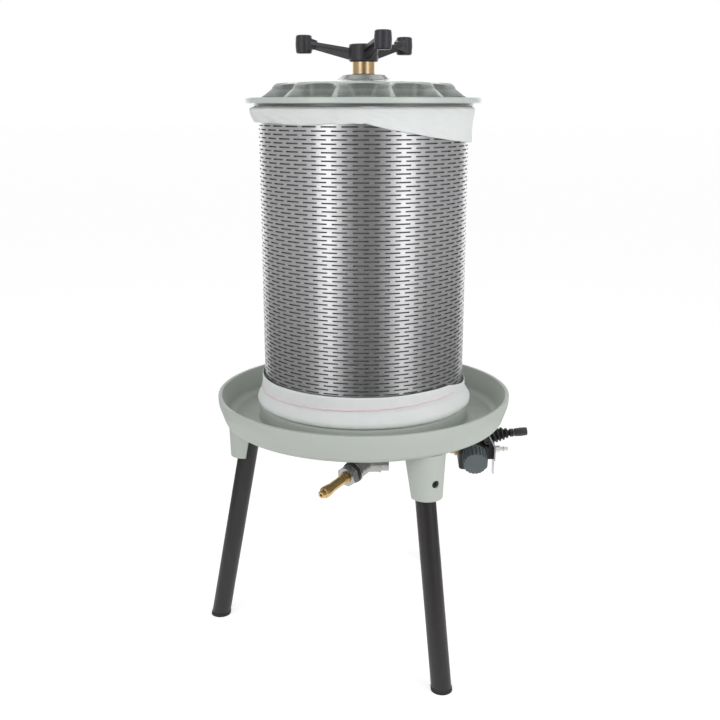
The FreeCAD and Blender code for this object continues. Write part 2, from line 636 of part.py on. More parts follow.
def make_bladder():
    bottom, top = bladder_levels()
    neck = SPINDLE_PIPE_RADIUS + BLADDER_WALL
    low_neck = bottom + BLADDER_NECK_LENGTH
    high_neck = top - BLADDER_NECK_LENGTH
    corner = BLADDER_SHOULDER
    inner = BLADDER_RADIUS - BLADDER_WALL
    return turned([
        (SPINDLE_PIPE_RADIUS, bottom),
        (neck, bottom),
        (neck, low_neck, BLADDER_FILLET),
        (BLADDER_RADIUS, low_neck + corner / 2, corner),
        (BLADDER_RADIUS, high_neck - corner / 2, corner),
        (neck, high_neck, BLADDER_FILLET),
        (neck, top),
        (SPINDLE_PIPE_RADIUS, top),
        (SPINDLE_PIPE_RADIUS, high_neck - BLADDER_WALL),
        (inner, high_neck - BLADDER_WALL - corner / 2, corner - BLADDER_WALL),
        (inner, low_neck + BLADDER_WALL + corner / 2, corner - BLADDER_WALL),
        (SPINDLE_PIPE_RADIUS, low_neck + BLADDER_WALL),
    ])


def make_bladder_clamp(middle):
    inner = SPINDLE_PIPE_RADIUS + BLADDER_WALL
    band = ring(inner, inner + CLAMP_THICKNESS, middle - CLAMP_HEIGHT / 2, middle + CLAMP_HEIGHT / 2)
    ear = Part.makeBox(3 * CLAMP_THICKNESS, 2 * CLAMP_THICKNESS, CLAMP_HEIGHT * 0.8,
                       V(-1.5 * CLAMP_THICKNESS, -inner - 2.5 * CLAMP_THICKNESS, middle - CLAMP_HEIGHT * 0.4))
    return band.fuse(ear)


def make_basket():
    """Rolled sheet with staggered rows of level slots."""
    sheet = ring(BASKET_INNER, BASKET_RADIUS, BASKET_FOOT, BASKET_RIM)
    low = BASKET_FOOT + SLOT_BAND_BOTTOM
    high = BASKET_RIM - SLOT_BAND_TOP
    row_pitch = (high - low) / (SLOT_ROWS - 1)
    slot_pitch = 360.0 / SLOTS_PER_ROW
    sweep = slot_pitch * SLOT_LENGTH_SHARE
    wedge_inner = BASKET_INNER - SLOT_CUT_MARGIN
    wedge_outer = BASKET_RADIUS + SLOT_CUT_MARGIN
    corner_low = around(-sweep / 2, 1, 0)
    profile = Part.makePolygon([
        corner_low * wedge_inner - V(0, 0, SLOT_HEIGHT / 2),
        corner_low * wedge_outer - V(0, 0, SLOT_HEIGHT / 2),
        corner_low * wedge_outer + V(0, 0, SLOT_HEIGHT / 2),
        corner_low * wedge_inner + V(0, 0, SLOT_HEIGHT / 2),
        corner_low * wedge_inner - V(0, 0, SLOT_HEIGHT / 2)])
    cutter = Part.Face(profile).revolve(ORIGIN, UP, sweep)
    slots = []
    for row in range(SLOT_ROWS):
        stagger = slot_pitch / 2 if row % 2 else 0
        for i in range(SLOTS_PER_ROW):
            slot = turned_to(cutter, stagger + i * slot_pitch)
            slot.translate(V(0, 0, low + row * row_pitch))
            slots.append(slot)
    return sheet.cut(Part.makeCompound(slots))


def make_hoop(bottom):
    return ring(BASKET_RADIUS, BASKET_RADIUS + HOOP_THICKNESS, bottom, bottom + HOOP_HEIGHT)


def make_cloth_liner():
    outer = BASKET_INNER - FIT_GAP
    return ring(outer - CLOTH_THICKNESS, outer, BASKET_FOOT, BASKET_RIM)


def make_bottom_cuff():
    """Cloth that is drawn out under the basket and folded up round its foot."""
    foot = BASKET_FOOT - CLOTH_THICKNESS
    inner = BASKET_RADIUS + HOOP_THICKNESS + FIT_GAP
    top = foot + BOTTOM_CUFF_HEIGHT
    bulge = BASKET_RADIUS + BOTTOM_CUFF_REACH
    waist = inner + BOTTOM_CUFF_THICKNESS
    fold = CUFF_FOLD
    return turned([
        (BASKET_INNER - FIT_GAP - CLOTH_THICKNESS, foot),
        (bulge - fold / 2, foot, fold / 3),
        (bulge, foot + fold, fold * 2 / 3),
        (bulge - fold, foot + 3 * fold, fold * 4 / 3),
        (waist, top - BOTTOM_CUFF_HEM, fold),
        (waist, top),
        (inner, top),
        (inner, BASKET_FOOT),
        (BASKET_INNER - FIT_GAP - CLOTH_THICKNESS, BASKET_FOOT),
    ])


def make_top_cuff():
    """Cloth folded over the basket's rim, with a longer flap on the right."""
    inner = BASKET_RADIUS + HOOP_THICKNESS + FIT_GAP
    outer = inner + TOP_CUFF_THICKNESS
    reach = PRESS_REACH
    edge = CLOTH_TOP - TOP_CUFF_HEIGHT
    fall = math.tan(math.radians(TOP_CUFF_SLANT))
    lowest = CLOTH_TOP - TOP_CUFF_SLANT_DROP - reach * fall
    puff = outer + TOP_CUFF_PUFF
    puff_foot = CLOTH_TOP - TOP_CUFF_PUFF_DROP
    skirt = turned([
        (inner, lowest),
        (outer, lowest),
        (outer, puff_foot, CUFF_FOLD),
        (puff, CLOTH_TOP - CUFF_FOLD, CUFF_FOLD * 2 / 3),
        (puff - CUFF_FOLD / 2, CLOTH_TOP, CUFF_FOLD / 3),
        (inner, CLOTH_TOP),
    ])
    slant_start = (TOP_CUFF_HEIGHT - TOP_CUFF_SLANT_DROP) / fall
    keep_points = [V(-reach, -reach, edge), V(slant_start, -reach, edge),
                   V(reach, -reach, lowest), V(reach, -reach, CLOTH_TOP), V(-reach, -reach, CLOTH_TOP),
                   V(-reach, -reach, edge)]
    keep = Part.Face(Part.makePolygon(keep_points)).extrude(V(0, 2 * reach, 0))
    fold = ring(BASKET_INNER - FIT_GAP - CLOTH_THICKNESS, outer - CLOTH_THICKNESS, BASKET_RIM, CLOTH_TOP)
    return skirt.common(keep).fuse(fold).removeSplitter()


def pocket_outline(spread, level):
    """Level wire of a lid pocket at azimuth 0, widened by a spread on every side."""
    half = LID_POCKET_WIDTH / 2 + spread
    outside = LID_DOME_FOOT_RADIUS + LID_POCKET_MARGIN
    side = LID_POCKET_SIDE_RADIUS - spread
    left_side = V(-half, -side, level)
    right_side = V(half, -side, level)
    left_out = V(-half, -outside, level)
    right_out = V(half, -outside, level)
    back = V(0, spread - LID_POCKET_BACK_RADIUS, level)
    return Part.Wire([
        Part.LineSegment(left_out, left_side).toShape(),
        Part.Arc(left_side, back, right_side).toShape(),
        Part.LineSegment(right_side, right_out).toShape(),
        Part.LineSegment(right_out, left_out).toShape()])


def is_pocket_corner(edge):
    """True for the two upright edges between a pocket's sides and its back."""
    middle = edge.CenterOfMass
    upright = abs(edge.tangentAt(edge.FirstParameter).z) > 0.5
    return upright and -middle.y < (LID_POCKET_SIDE_RADIUS + LID_DOME_FOOT_RADIUS) / 2


def make_lid():
    """Domed casting with scooped pockets between ribs, a boss, a flange and a register."""
    top = LID_FLANGE_TOP
    floor_level = top - LID_FLOOR_WALL
    crown = top + LID_CROWN_RISE
    shoulder = top + LID_DOME_RISE
    lid = turned([
        (LID_BUSH_OUTER, LID_BOSS_TOP - LID_BUSH_LENGTH),
        (LID_BUSH_OUTER, LID_BOSS_TOP - WASHER_THICKNESS),
        (WASHER_RADIUS + BODY_GAP, LID_BOSS_TOP - WASHER_THICKNESS),
        (WASHER_RADIUS + BODY_GAP, LID_BOSS_TOP),
        (LID_BOSS_RADIUS, LID_BOSS_TOP, CAST_EDGE),
        (LID_BOSS_FOOT_RADIUS, crown, CAST_FILLET),
        (LID_DOME_SHOULDER_RADIUS, shoulder, LID_SHOULDER_FILLET),
        (LID_DOME_FOOT_RADIUS, top, CAST_EDGE),
        (LID_FLANGE_RADIUS, top, CAST_EDGE),
        (LID_FLANGE_RADIUS, LID_FLANGE_BOTTOM, CAST_EDGE),
        (LID_REGISTER_RADIUS, LID_FLANGE_BOTTOM),
        (LID_REGISTER_RADIUS, LID_FOOT, TURNED_EDGE),
        (GASKET_OUTER, LID_FOOT),
        (GASKET_OUTER, LID_FOOT + GASKET_THICKNESS),
        (GASKET_INNER, LID_FOOT + GASKET_THICKNESS),
        (GASKET_INNER, LID_FOOT),
        (LID_REGISTER_INNER, LID_FOOT, CAST_EDGE),
        (LID_REGISTER_INNER - CAST_FILLET, floor_level, CAST_EDGE),
        (LID_CAVITY_RADIUS, floor_level, CAST_FILLET),
        (LID_CAVITY_RADIUS - LID_WALL, shoulder - LID_WALL, CAST_FILLET),
        (LID_HUB_RADIUS, crown - LID_WALL, CAST_FILLET),
        (LID_HUB_RADIUS, LID_BOSS_TOP - LID_BUSH_LENGTH, CAST_EDGE),
    ])
    pocket = Part.makeLoft([pocket_outline(0, top), pocket_outline(LID_RIB_DRAFT, top + LID_DOME_RISE)],
                           True, True)
    corners = [edge for edge in pocket.Edges if is_pocket_corner(edge)]
    pocket = pocket.makeFillet(LID_POCKET_FILLET, corners)
    pockets = [turned_to(pocket, i * 360.0 / LID_POCKET_COUNT) for i in range(LID_POCKET_COUNT)]
    return lid.cut(pockets)


def make_gasket():
    return ring(GASKET_INNER, GASKET_OUTER, LID_FOOT, LID_FOOT + GASKET_THICKNESS)


def make_lid_bush():
    return ring(SPINDLE_SCREW_RADIUS + RUN_GAP, LID_BUSH_OUTER, LID_BOSS_TOP - LID_BUSH_LENGTH,
                LID_BOSS_TOP - WASHER_THICKNESS)


def make_thrust_washer():
    inner = SPINDLE_SCREW_RADIUS + RUN_GAP + BODY_GAP
    return ring(inner, WASHER_RADIUS, WASHER_BOTTOM, WASHER_BOTTOM + WASHER_THICKNESS)


def make_brass_nut():
    """Collar nut: a round collar below and a stub that the handle is pinned to."""
    bore = SPINDLE_SCREW_RADIUS + RUN_GAP
    stub_top = HUB_BOTTOM + NUT_STUB_HEIGHT
    roof = SPINDLE_TOP + NUT_ROOF_GAP
    nut = turned([
        (bore, COLLAR_BOTTOM, TURNED_EDGE),
        (COLLAR_RADIUS, COLLAR_BOTTOM, TURNED_EDGE),
        (COLLAR_RADIUS, HUB_BOTTOM),
        (NUT_STUB_RADIUS, HUB_BOTTOM),
        (NUT_STUB_RADIUS, stub_top),
        (0, stub_top),
        (0, roof),
        (bore, roof),
    ])
    return nut.cut(handle_pin_rod())


def handle_pin_rod():
    """Pin through one side of hub and nut, halfway between two arms and clear of the screw."""
    height = (SPINDLE_TOP + HUB_BOTTOM + NUT_STUB_HEIGHT) / 2 - HANDLE_PIN_RADIUS
    direction = around(HANDLE_FIRST_AZIMUTH + 180.0 / HANDLE_ARM_COUNT, 1, 0)
    start = V(0, 0, height) + direction * (SPINDLE_SCREW_RADIUS + RUN_GAP + FIT_GAP)
    return rod(HANDLE_PIN_RADIUS, start, direction, HUB_RADIUS)


def make_handle_pin():
    barrel = ring(0, HUB_RADIUS, HUB_BOTTOM, HUB_BOTTOM + HUB_HEIGHT)
    return handle_pin_rod().common(barrel)


def upright_frame(width, height, reach, middle):
    """Rectangular wire across an arm that points along -Y."""
    half = width / 2
    rise = height / 2
    return Part.makePolygon([V(-half, -reach, middle - rise), V(half, -reach, middle - rise),
                             V(half, -reach, middle + rise), V(-half, -reach, middle + rise),
                             V(-half, -reach, middle - rise)])


def make_handle():
    """Moulded hub with three flanged arms that rise to barrel knobs."""
    hub = ring(0, HUB_RADIUS, HUB_BOTTOM, HUB_BOTTOM + HUB_HEIGHT, HUB_EDGE)
    knob_bottom = HUB_BOTTOM + KNOB_RISE
    knob_end = KNOB_RADIUS - KNOB_BARREL
    knob = turned([
        (0, knob_bottom),
        (knob_end, knob_bottom, KNOB_EDGE),
        (KNOB_RADIUS, knob_bottom + KNOB_HEIGHT / 2, KNOB_CROWN_RADIUS),
        (knob_end, knob_bottom + KNOB_HEIGHT, KNOB_EDGE),
        (0, knob_bottom + KNOB_HEIGHT),
    ])
    knob.translate(V(0, -HANDLE_REACH, 0))
    root = HUB_RADIUS / 2
    tip = HANDLE_REACH - KNOB_RADIUS / 2
    root_top = HUB_BOTTOM + HUB_HEIGHT - ARM_TOP_SINK
    tip_top = knob_bottom + KNOB_HEIGHT - ARM_TIP_SINK
    root_bottom = root_top - ARM_ROOT_HEIGHT
    tip_bottom = tip_top - ARM_TIP_HEIGHT

    def side_plate(low_root, low_tip, width):
        points = [V(-width / 2, -root, low_root), V(-width / 2, -tip, low_tip),
                  V(-width / 2, -tip, tip_top), V(-width / 2, -root, root_top),
                  V(-width / 2, -root, low_root)]
        return Part.Face(Part.makePolygon(points)).extrude(V(width, 0, 0))

    web = side_plate(root_bottom, tip_bottom, ARM_WEB_THICKNESS)
    flange = side_plate(root_top - ARM_FLANGE_THICKNESS, tip_top - ARM_FLANGE_THICKNESS, ARM_FLANGE_WIDTH)
    flare_middle = tip_top - ARM_TIP_HEIGHT / 2
    flare_start = HANDLE_REACH - KNOB_RADIUS - ARM_FLARE_LENGTH
    flare = Part.makeLoft([
        upright_frame(ARM_WEB_THICKNESS, ARM_TIP_HEIGHT, flare_start, flare_middle),
        upright_frame(ARM_FLARE_WIDTH, ARM_FLARE_HEIGHT, tip, flare_middle)], True, True)
    arm = web.fuse([flange, flare, knob])
    azimuths = [HANDLE_FIRST_AZIMUTH + i * 360.0 / HANDLE_ARM_COUNT for i in range(HANDLE_ARM_COUNT)]
    handle = hub.fuse([turned_to(arm, a) for a in azimuths])
    stub = rod(NUT_STUB_RADIUS, V(0, 0, HUB_BOTTOM), UP, NUT_STUB_HEIGHT)
    return handle.cut([stub, handle_pin_rod()]).removeSplitter()


def make_valve_body():
    """Branch body: a neck up to the spindle, a level run and a branch to the front left."""
    x_way = V(1, 0, 0)
    neck = rod(VALVE_NECK_RADIUS, V(0, 0, VALVE_HEIGHT), UP, VALVE_NECK_TOP - VALVE_HEIGHT)
    run = rod(VALVE_RADIUS, V(-VALVE_RUN_LEFT, 0, VALVE_HEIGHT), x_way, VALVE_RUN_LEFT + VALVE_RUN_RIGHT)
    band_start = VALVE_RUN_RIGHT - VALVE_BAND_PROUD - VALVE_BAND_WIDTH
    band = rod(VALVE_RADIUS + VALVE_BAND_PROUD, V(band_start, 0, VALVE_HEIGHT), x_way, VALVE_BAND_WIDTH)
    stub = rod(STUB_RADIUS, V(VALVE_RUN_RIGHT, 0, VALVE_HEIGHT), x_way, STUB_LENGTH)
    branch = rod(VALVE_RADIUS, VALVE_CENTRE, BRANCH_DIRECTION, BRANCH_BODY_LENGTH)
    body = neck.fuse([run, band, stub, branch])
    cap_ball = Part.makeSphere(VALVE_RADIUS, V(0, 0, VALVE_HEIGHT))
    body = body.fuse(cap_ball)
    spindle_hole = rod(SPINDLE_PIPE_RADIUS, V(0, 0, SPINDLE_BOTTOM), UP, VALVE_NECK_TOP)
    air_way = rod(SPINDLE_BORE_RADIUS, V(0, 0, VALVE_HEIGHT), UP, VALVE_NECK_TOP)
    pipe_port = rod(NECK_FITTING_RADIUS - THREAD_DEPTH, V(VALVE_NECK_RADIUS - FITTING_SINK, 0, AIR_HEIGHT),
                    x_way, DRILL_LENGTH)
    pipe_way = rod(AIR_WAY_RADIUS, V(0, 0, AIR_HEIGHT), x_way, VALVE_NECK_RADIUS)
    stub_hole = rod(STUB_PLUG_RADIUS, V(VALVE_RUN_RIGHT + STUB_LENGTH - STUB_PLUG_LENGTH, 0, VALVE_HEIGHT),
                    x_way, DRILL_LENGTH)
    shank_start = VALVE_CENTRE + BRANCH_DIRECTION * (BRANCH_BODY_LENGTH - NOZZLE_SHANK_SINK)
    shank_hole = rod(NOZZLE_SHANK_RADIUS, shank_start, BRANCH_DIRECTION, DRILL_LENGTH)
    return body.cut([spindle_hole, air_way, pipe_port, pipe_way, stub_hole, shank_hole])


def make_stub_plug():
    start = V(VALVE_RUN_RIGHT + STUB_LENGTH - STUB_PLUG_LENGTH, 0, VALVE_HEIGHT)
    middle = start + V(STUB_PLUG_LENGTH / 2, 0, 0)
    plug = rod(STUB_PLUG_RADIUS, start, V(1, 0, 0), STUB_PLUG_LENGTH)
    return plug.cut(rod(STUB_PLUG_RECESS, middle, V(1, 0, 0), STUB_PLUG_LENGTH))


def on_branch(shape):
    """Shape drawn up the Z axis, moved to the outer end of the branch."""
    return placed_along(shape, VALVE_CENTRE + BRANCH_DIRECTION * BRANCH_BODY_LENGTH, BRANCH_DIRECTION)


def make_branch_ring():
    return on_branch(ring(NOZZLE_SHANK_RADIUS, BRANCH_RING_RADIUS, 0, BRANCH_RING_LENGTH, TURNED_EDGE))


def make_branch_seal():
    low = BRANCH_RING_LENGTH
    high = low + BRANCH_SEAL_LENGTH
    return on_branch(ring(NOZZLE_SHANK_RADIUS, BRANCH_SEAL_RADIUS, low, high, TURNED_EDGE))


def make_branch_nut():
    low = BRANCH_RING_LENGTH + BRANCH_SEAL_LENGTH
    nut = hexagon(BRANCH_NUT_FLATS, low, BRANCH_NUT_LENGTH)
    return on_branch(nut.cut(rod(NOZZLE_SHANK_RADIUS, ORIGIN, UP, DRILL_LENGTH)))


def make_nozzle():
    nut_end = BRANCH_RING_LENGTH + BRANCH_SEAL_LENGTH + BRANCH_NUT_LENGTH
    collar_end = nut_end + NOZZLE_COLLAR_LENGTH
    tube_end = collar_end + NOZZLE_TUBE_LENGTH
    barb_end = tube_end + NOZZLE_BARB_LENGTH
    nose_end = barb_end + NOZZLE_NOSE_LENGTH
    return on_branch(turned([
        (NOZZLE_BORE_RADIUS, -NOZZLE_SHANK_SINK),
        (NOZZLE_SHANK_RADIUS, -NOZZLE_SHANK_SINK),
        (NOZZLE_SHANK_RADIUS, nut_end),
        (NOZZLE_COLLAR_RADIUS, nut_end, TURNED_EDGE),
        (NOZZLE_COLLAR_RADIUS, collar_end, TURNED_EDGE),
        (NOZZLE_SHANK_RADIUS, collar_end),
        (NOZZLE_SHANK_RADIUS, tube_end),
        (NOZZLE_BARB_RADIUS, tube_end + NOZZLE_BEVEL, TURNED_EDGE / 2),
        (NOZZLE_BARB_RADIUS, barb_end, TURNED_EDGE),
        (NOZZLE_NOSE_RADIUS + NOZZLE_BEVEL / 3, barb_end + NOZZLE_BEVEL, TURNED_EDGE / 2),
        (NOZZLE_NOSE_RADIUS, nose_end - 2 * NOZZLE_BEVEL, TURNED_EDGE),
        (NOZZLE_NOSE_RADIUS - NOZZLE_BEVEL, nose_end),
        (NOZZLE_BORE_RADIUS, nose_end),
    ]))


def make_neck_fitting():
    x_way = V(1, 0, 0)
    start = VALVE_NECK_RADIUS - FITTING_SINK
    collar_gap = AIR_PIPE_WALL
    thread = rod(NECK_FITTING_RADIUS - THREAD_DEPTH, V(start, 0, AIR_HEIGHT), x_way,
                 FITTING_SINK + 2 * collar_gap)
    collar = rod(NECK_FITTING_RADIUS, V(VALVE_NECK_RADIUS + collar_gap, 0, AIR_HEIGHT), x_way,
                 NECK_FITTING_LENGTH)
    bore = rod(AIR_PIPE_RADIUS, V(0, 0, AIR_HEIGHT), x_way, DRILL_LENGTH)
    return thread.fuse(collar).cut(bore)


def make_air_pipe():
    start = VALVE_NECK_RADIUS
    stop = REGULATOR_X - REGULATOR_WIDTH / 2 - FITTING_SINK
    pipe = rod(AIR_PIPE_RADIUS, V(start, 0, AIR_HEIGHT), V(1, 0, 0), stop - start)
    return pipe.cut(rod(AIR_PIPE_RADIUS - AIR_PIPE_WALL, V(start, 0, AIR_HEIGHT), V(1, 0, 0), stop - start))


def make_port_fitting():
    """Push-in fitting screwed into the regulator's left port."""
    x_way = V(1, 0, 0)
    face = REGULATOR_X - REGULATOR_WIDTH / 2
    collar = placed_along(hexagon(PORT_FITTING_FLATS, 0, PORT_FITTING_LENGTH / 2),
                          V(face - PORT_FITTING_LENGTH / 2, 0, AIR_HEIGHT), x_way)
    sleeve_start = V(face - PORT_FITTING_LENGTH, 0, AIR_HEIGHT)
    sleeve = rod(PORT_SLEEVE_RADIUS, sleeve_start, x_way, PORT_FITTING_LENGTH)
    thread = rod(PORT_THREAD_RADIUS, V(face - FITTING_SINK, 0, AIR_HEIGHT), x_way, 2 * FITTING_SINK)
    bore = rod(AIR_PIPE_RADIUS, V(face - DRILL_LENGTH / 2, 0, AIR_HEIGHT), x_way, DRILL_LENGTH)
    return collar.fuse([sleeve, thread]).cut(bore)


def on_regulator(shape):
    """Shape drawn with the knob axis along -Y through the origin, moved to the regulator."""
    copy = shape.copy()
    copy.rotate(ORIGIN, V(1, 0, 0), REGULATOR_TILT)
    copy.translate(V(REGULATOR_X, 0, AIR_HEIGHT))
    return copy


def forward(shape, start):
    """Shape drawn up the Z axis, laid along -Y from y = -start."""
    return placed_along(shape, V(0, -start, 0), V(0, -1, 0))


def make_regulator_body():
    half = REGULATOR_WIDTH / 2
    edge = REGULATOR_EDGE
    block = rounded_profile([(-half, -REGULATOR_BOTTOM, edge), (half, -REGULATOR_BOTTOM, edge),
                             (half, REGULATOR_TOP, edge), (-half, REGULATOR_TOP, edge)])
    block = block.extrude(V(0, REGULATOR_DEPTH, 0))
    block.translate(V(0, -REGULATOR_DEPTH / 2, 0))
    drain = rod(REGULATOR_DRAIN_RADIUS, V(0, 0, -REGULATOR_BOTTOM - REGULATOR_DRAIN_LENGTH), UP,
                2 * REGULATOR_DRAIN_LENGTH)
    body = block.fuse(drain)
    groove = REGULATOR_GROOVE
    inset = REGULATOR_GROOVE_INSET
    grooves = [Part.makeBox(groove, groove, REGULATOR_TOP + REGULATOR_BOTTOM,
                            V(x - groove / 2, -REGULATOR_DEPTH / 2 - groove / 2, -REGULATOR_BOTTOM))
               for x in (-half + inset, -half + 2 * inset, half - 2 * inset, half - inset)]
    body = on_regulator(body.cut(grooves))
    ends = [REGULATOR_X - half - DRILL_LENGTH + FITTING_SINK, REGULATOR_X + half - FITTING_SINK]
    return body.cut([rod(PORT_THREAD_RADIUS, V(x, 0, AIR_HEIGHT), V(1, 0, 0), DRILL_LENGTH) for x in ends])


def make_bonnet():
    bore = HUB_SHAFT_RADIUS + BODY_GAP
    bonnet = turned([(0, 0), (BONNET_RADIUS, 0), (BONNET_RADIUS, BONNET_LENGTH, CAST_EDGE),
                     (bore, BONNET_LENGTH), (bore, BONNET_LENGTH / 2), (0, BONNET_LENGTH / 2)])
    return on_regulator(forward(bonnet, REGULATOR_DEPTH / 2))


def make_dial_hub():
    """Short spindle that the knob turns and slides on, with a groove for each of its two positions."""
    start = BONNET_LENGTH / 2 + BODY_GAP
    stop = start + HUB_SHAFT_LENGTH
    shaft = ring(0, HUB_SHAFT_RADIUS, start, stop, TURNED_EDGE)
    for level in (stop - DIAL_PULL - DETENT_WIDTH, stop - 2 * DIAL_PULL - DETENT_WIDTH):
        groove = ring(HUB_SHAFT_RADIUS - DETENT_DEPTH, DIAL_RADIUS, level, level + DETENT_WIDTH)
        shaft = shaft.cut(groove)
    return on_regulator(forward(shaft, REGULATOR_DEPTH / 2))


def make_dial():
    """Fluted cup knob that covers the bonnet."""
    inner = DIAL_RADIUS - DIAL_WALL
    bore = HUB_SHAFT_RADIUS + RUN_GAP
    shaft_end = BONNET_LENGTH / 2 + BODY_GAP + HUB_SHAFT_LENGTH
    boss_foot = BONNET_LENGTH + DIAL_WALL
    cup = turned([
        (inner, 0),
        (DIAL_RADIUS, 0, TURNED_EDGE),
        (DIAL_RADIUS - DIAL_TAPER, DIAL_LENGTH, CAST_EDGE),
        (0, DIAL_LENGTH),
        (0, shaft_end),
        (bore, shaft_end),
        (bore, boss_foot),
        (DIAL_BOSS_RADIUS, boss_foot),
        (DIAL_BOSS_RADIUS, DIAL_LENGTH - DIAL_FACE),
        (inner - DIAL_TAPER, DIAL_LENGTH - DIAL_FACE),
    ])
    flutes = [rod(DIAL_FLUTE_RADIUS, around(i * 360.0 / DIAL_FLUTES, DIAL_RADIUS, DIAL_WALL), UP, DIAL_LENGTH)
              for i in range(DIAL_FLUTES)]
    return on_regulator(forward(cup.cut(flutes), REGULATOR_DEPTH / 2 + 2 * BODY_GAP))


def flange_normal():
    tilt = math.radians(FLANGE_TILT)
    return V(math.cos(tilt), 0, math.sin(tilt))


def flange_way():
    """Unit vector up the flange, away from the bend."""
    tilt = math.radians(FLANGE_TILT)
    return V(-math.sin(tilt), 0, math.cos(tilt))


def flange_middle():
    """Centre of the flange's right face, where the lever comes out."""
    bend = V(BRACKET_X + BRACKET_THICKNESS, 0, BRACKET_BEND)
    return bend + flange_way() * (FLANGE_LENGTH / 2)


def make_bracket():
    """Bent plate: an upright, a tilted flange for the hand valve and a foot on the tray."""
    t = BRACKET_THICKNESS
    low = V(BRACKET_X, 0, BRACKET_BOTTOM)
    bend = V(BRACKET_X, 0, BRACKET_BEND)
    normal = flange_normal()
    way = flange_way()
    bend_out = V(BRACKET_X + t, 0, BRACKET_BEND)
    tip_out = bend_out + way * FLANGE_LENGTH
    tip_in = tip_out - normal * t
    lean = math.tan(math.radians(FLANGE_TILT) / 2)
    bend_in = bend + V(0, 0, -t * lean)
    foot_top = TRAY_FOOT_HEIGHT
    turn_in = V(tip_in.x, 0, foot_top - t)
    points = [low, V(BRACKET_X + t, 0, BRACKET_BOTTOM), bend_out, tip_out, V(tip_out.x, 0, foot_top),
              V(tip_out.x - FOOT_PLATE_LENGTH, 0, foot_top),
              V(tip_out.x - FOOT_PLATE_LENGTH, 0, foot_top - t), turn_in, tip_in, bend_in, low]
    plate = Part.Face(Part.makePolygon(points)).extrude(V(0, BRACKET_WIDTH, 0))
    plate.translate(V(0, -BRACKET_WIDTH / 2, 0))
    notch_depth = (BRACKET_WIDTH - BRACKET_TONGUE_WIDTH) / 2
    notch_height = VALVE_BLOCK_BOTTOM - BRACKET_BOTTOM
    for side in (-BRACKET_WIDTH / 2, BRACKET_TONGUE_WIDTH / 2):
        corner = V(BRACKET_X - t, side, BRACKET_BOTTOM)
        plate = plate.cut(Part.makeBox(3 * t, notch_depth, notch_height, corner))
    middle = flange_middle()
    hole = rod(BUSHING_RADIUS, middle - normal * DRILL_LENGTH / 2, normal, DRILL_LENGTH)
    inlet = rod(INLET_RADIUS, V(BRACKET_X - DRILL_LENGTH / 2, 0, AIR_HEIGHT), V(1, 0, 0), DRILL_LENGTH)
    screws = [rod(BRACKET_SCREW_RADIUS, V(bracket_screw_x(), y, foot_top - t), UP, t)
              for y in bracket_screw_sides()]
    return plate.cut([hole, inlet] + screws)


def bracket_screw_x():
    return flange_middle().x + flange_way().x * FLANGE_LENGTH / 2 - FOOT_PLATE_LENGTH / 2


def bracket_screw_sides():
    return (-BRACKET_WIDTH / 3, BRACKET_WIDTH / 3)


def make_bracket_screws():
    foot_bottom = TRAY_FOOT_HEIGHT - BRACKET_THICKNESS
    screws = []
    for y in bracket_screw_sides():
        head = rod(BRACKET_SCREW_HEAD, V(bracket_screw_x(), y, foot_bottom - BRACKET_SCREW_RADIUS), UP,
                   BRACKET_SCREW_RADIUS)
        shank = rod(BRACKET_SCREW_RADIUS, V(bracket_screw_x(), y, foot_bottom - SCREW_BITE), UP,
                    BRACKET_THICKNESS + SCREW_BITE)
        screws.append(head.fuse(shank))
    return Part.makeCompound(screws)


def make_hand_valve():
    """Valve block behind the bracket, with the lever's bushing through the flange."""
    normal = flange_normal()
    way = flange_way()
    t = BRACKET_THICKNESS
    bend_out = V(BRACKET_X + t, 0, BRACKET_BEND)
    under_low = V(BRACKET_X, 0, BRACKET_BEND - t * math.tan(math.radians(FLANGE_TILT) / 2))
    under_high = bend_out + way * (FLANGE_LENGTH - VALVE_BLOCK_MARGIN) - normal * t
    back_high = under_high - normal * VALVE_BLOCK_DEPTH
    points = [V(BRACKET_X, 0, VALVE_BLOCK_BOTTOM), under_low, under_high, back_high,
              V(VALVE_BLOCK_LEFT, 0, back_high.z - (VALVE_BLOCK_LEFT - back_high.x) * VALVE_BLOCK_SLOPE),
              V(VALVE_BLOCK_LEFT, 0, VALVE_BLOCK_BOTTOM), V(BRACKET_X, 0, VALVE_BLOCK_BOTTOM)]
    block = Part.Face(Part.makePolygon(points)).extrude(V(0, VALVE_BLOCK_WIDTH, 0))
    block.translate(V(0, -VALVE_BLOCK_WIDTH / 2, 0))
    middle = flange_middle()
    bushing = rod(BUSHING_RADIUS, middle - normal * 2 * t, normal, 2 * t + BUSHING_RISE)
    body = block.fuse(bushing)
    pivot = lever_pivot()
    seat = Part.makeSphere(LEVER_BALL_RADIUS + RUN_GAP, pivot)
    mouth_length = BUSHING_RISE + LEVER_BALL_RADIUS / 2
    widen = math.tan(math.radians(LEVER_THROW + LEVER_MOUTH_ROOM))
    neck = LEVER_RADIUS + BODY_GAP
    mouth = Part.makeCone(neck, neck + mouth_length * widen, mouth_length, pivot, normal)
    inlet = rod(PORT_THREAD_RADIUS - RUN_GAP, V(VALVE_BLOCK_LEFT, 0, AIR_HEIGHT), V(1, 0, 0), DRILL_LENGTH)
    return body.cut([seat, mouth, inlet])


def make_regulator_nipple():
    """Short threaded nipple between the regulator's right port and the hand valve."""
    x_way = V(1, 0, 0)
    start = REGULATOR_X + REGULATOR_WIDTH / 2 - FITTING_SINK
    nipple = rod(PORT_THREAD_RADIUS, V(start, 0, AIR_HEIGHT), x_way, VALVE_BLOCK_LEFT - start)
    return nipple.cut(rod(AIR_WAY_RADIUS, V(start, 0, AIR_HEIGHT), x_way, DRILL_LENGTH))


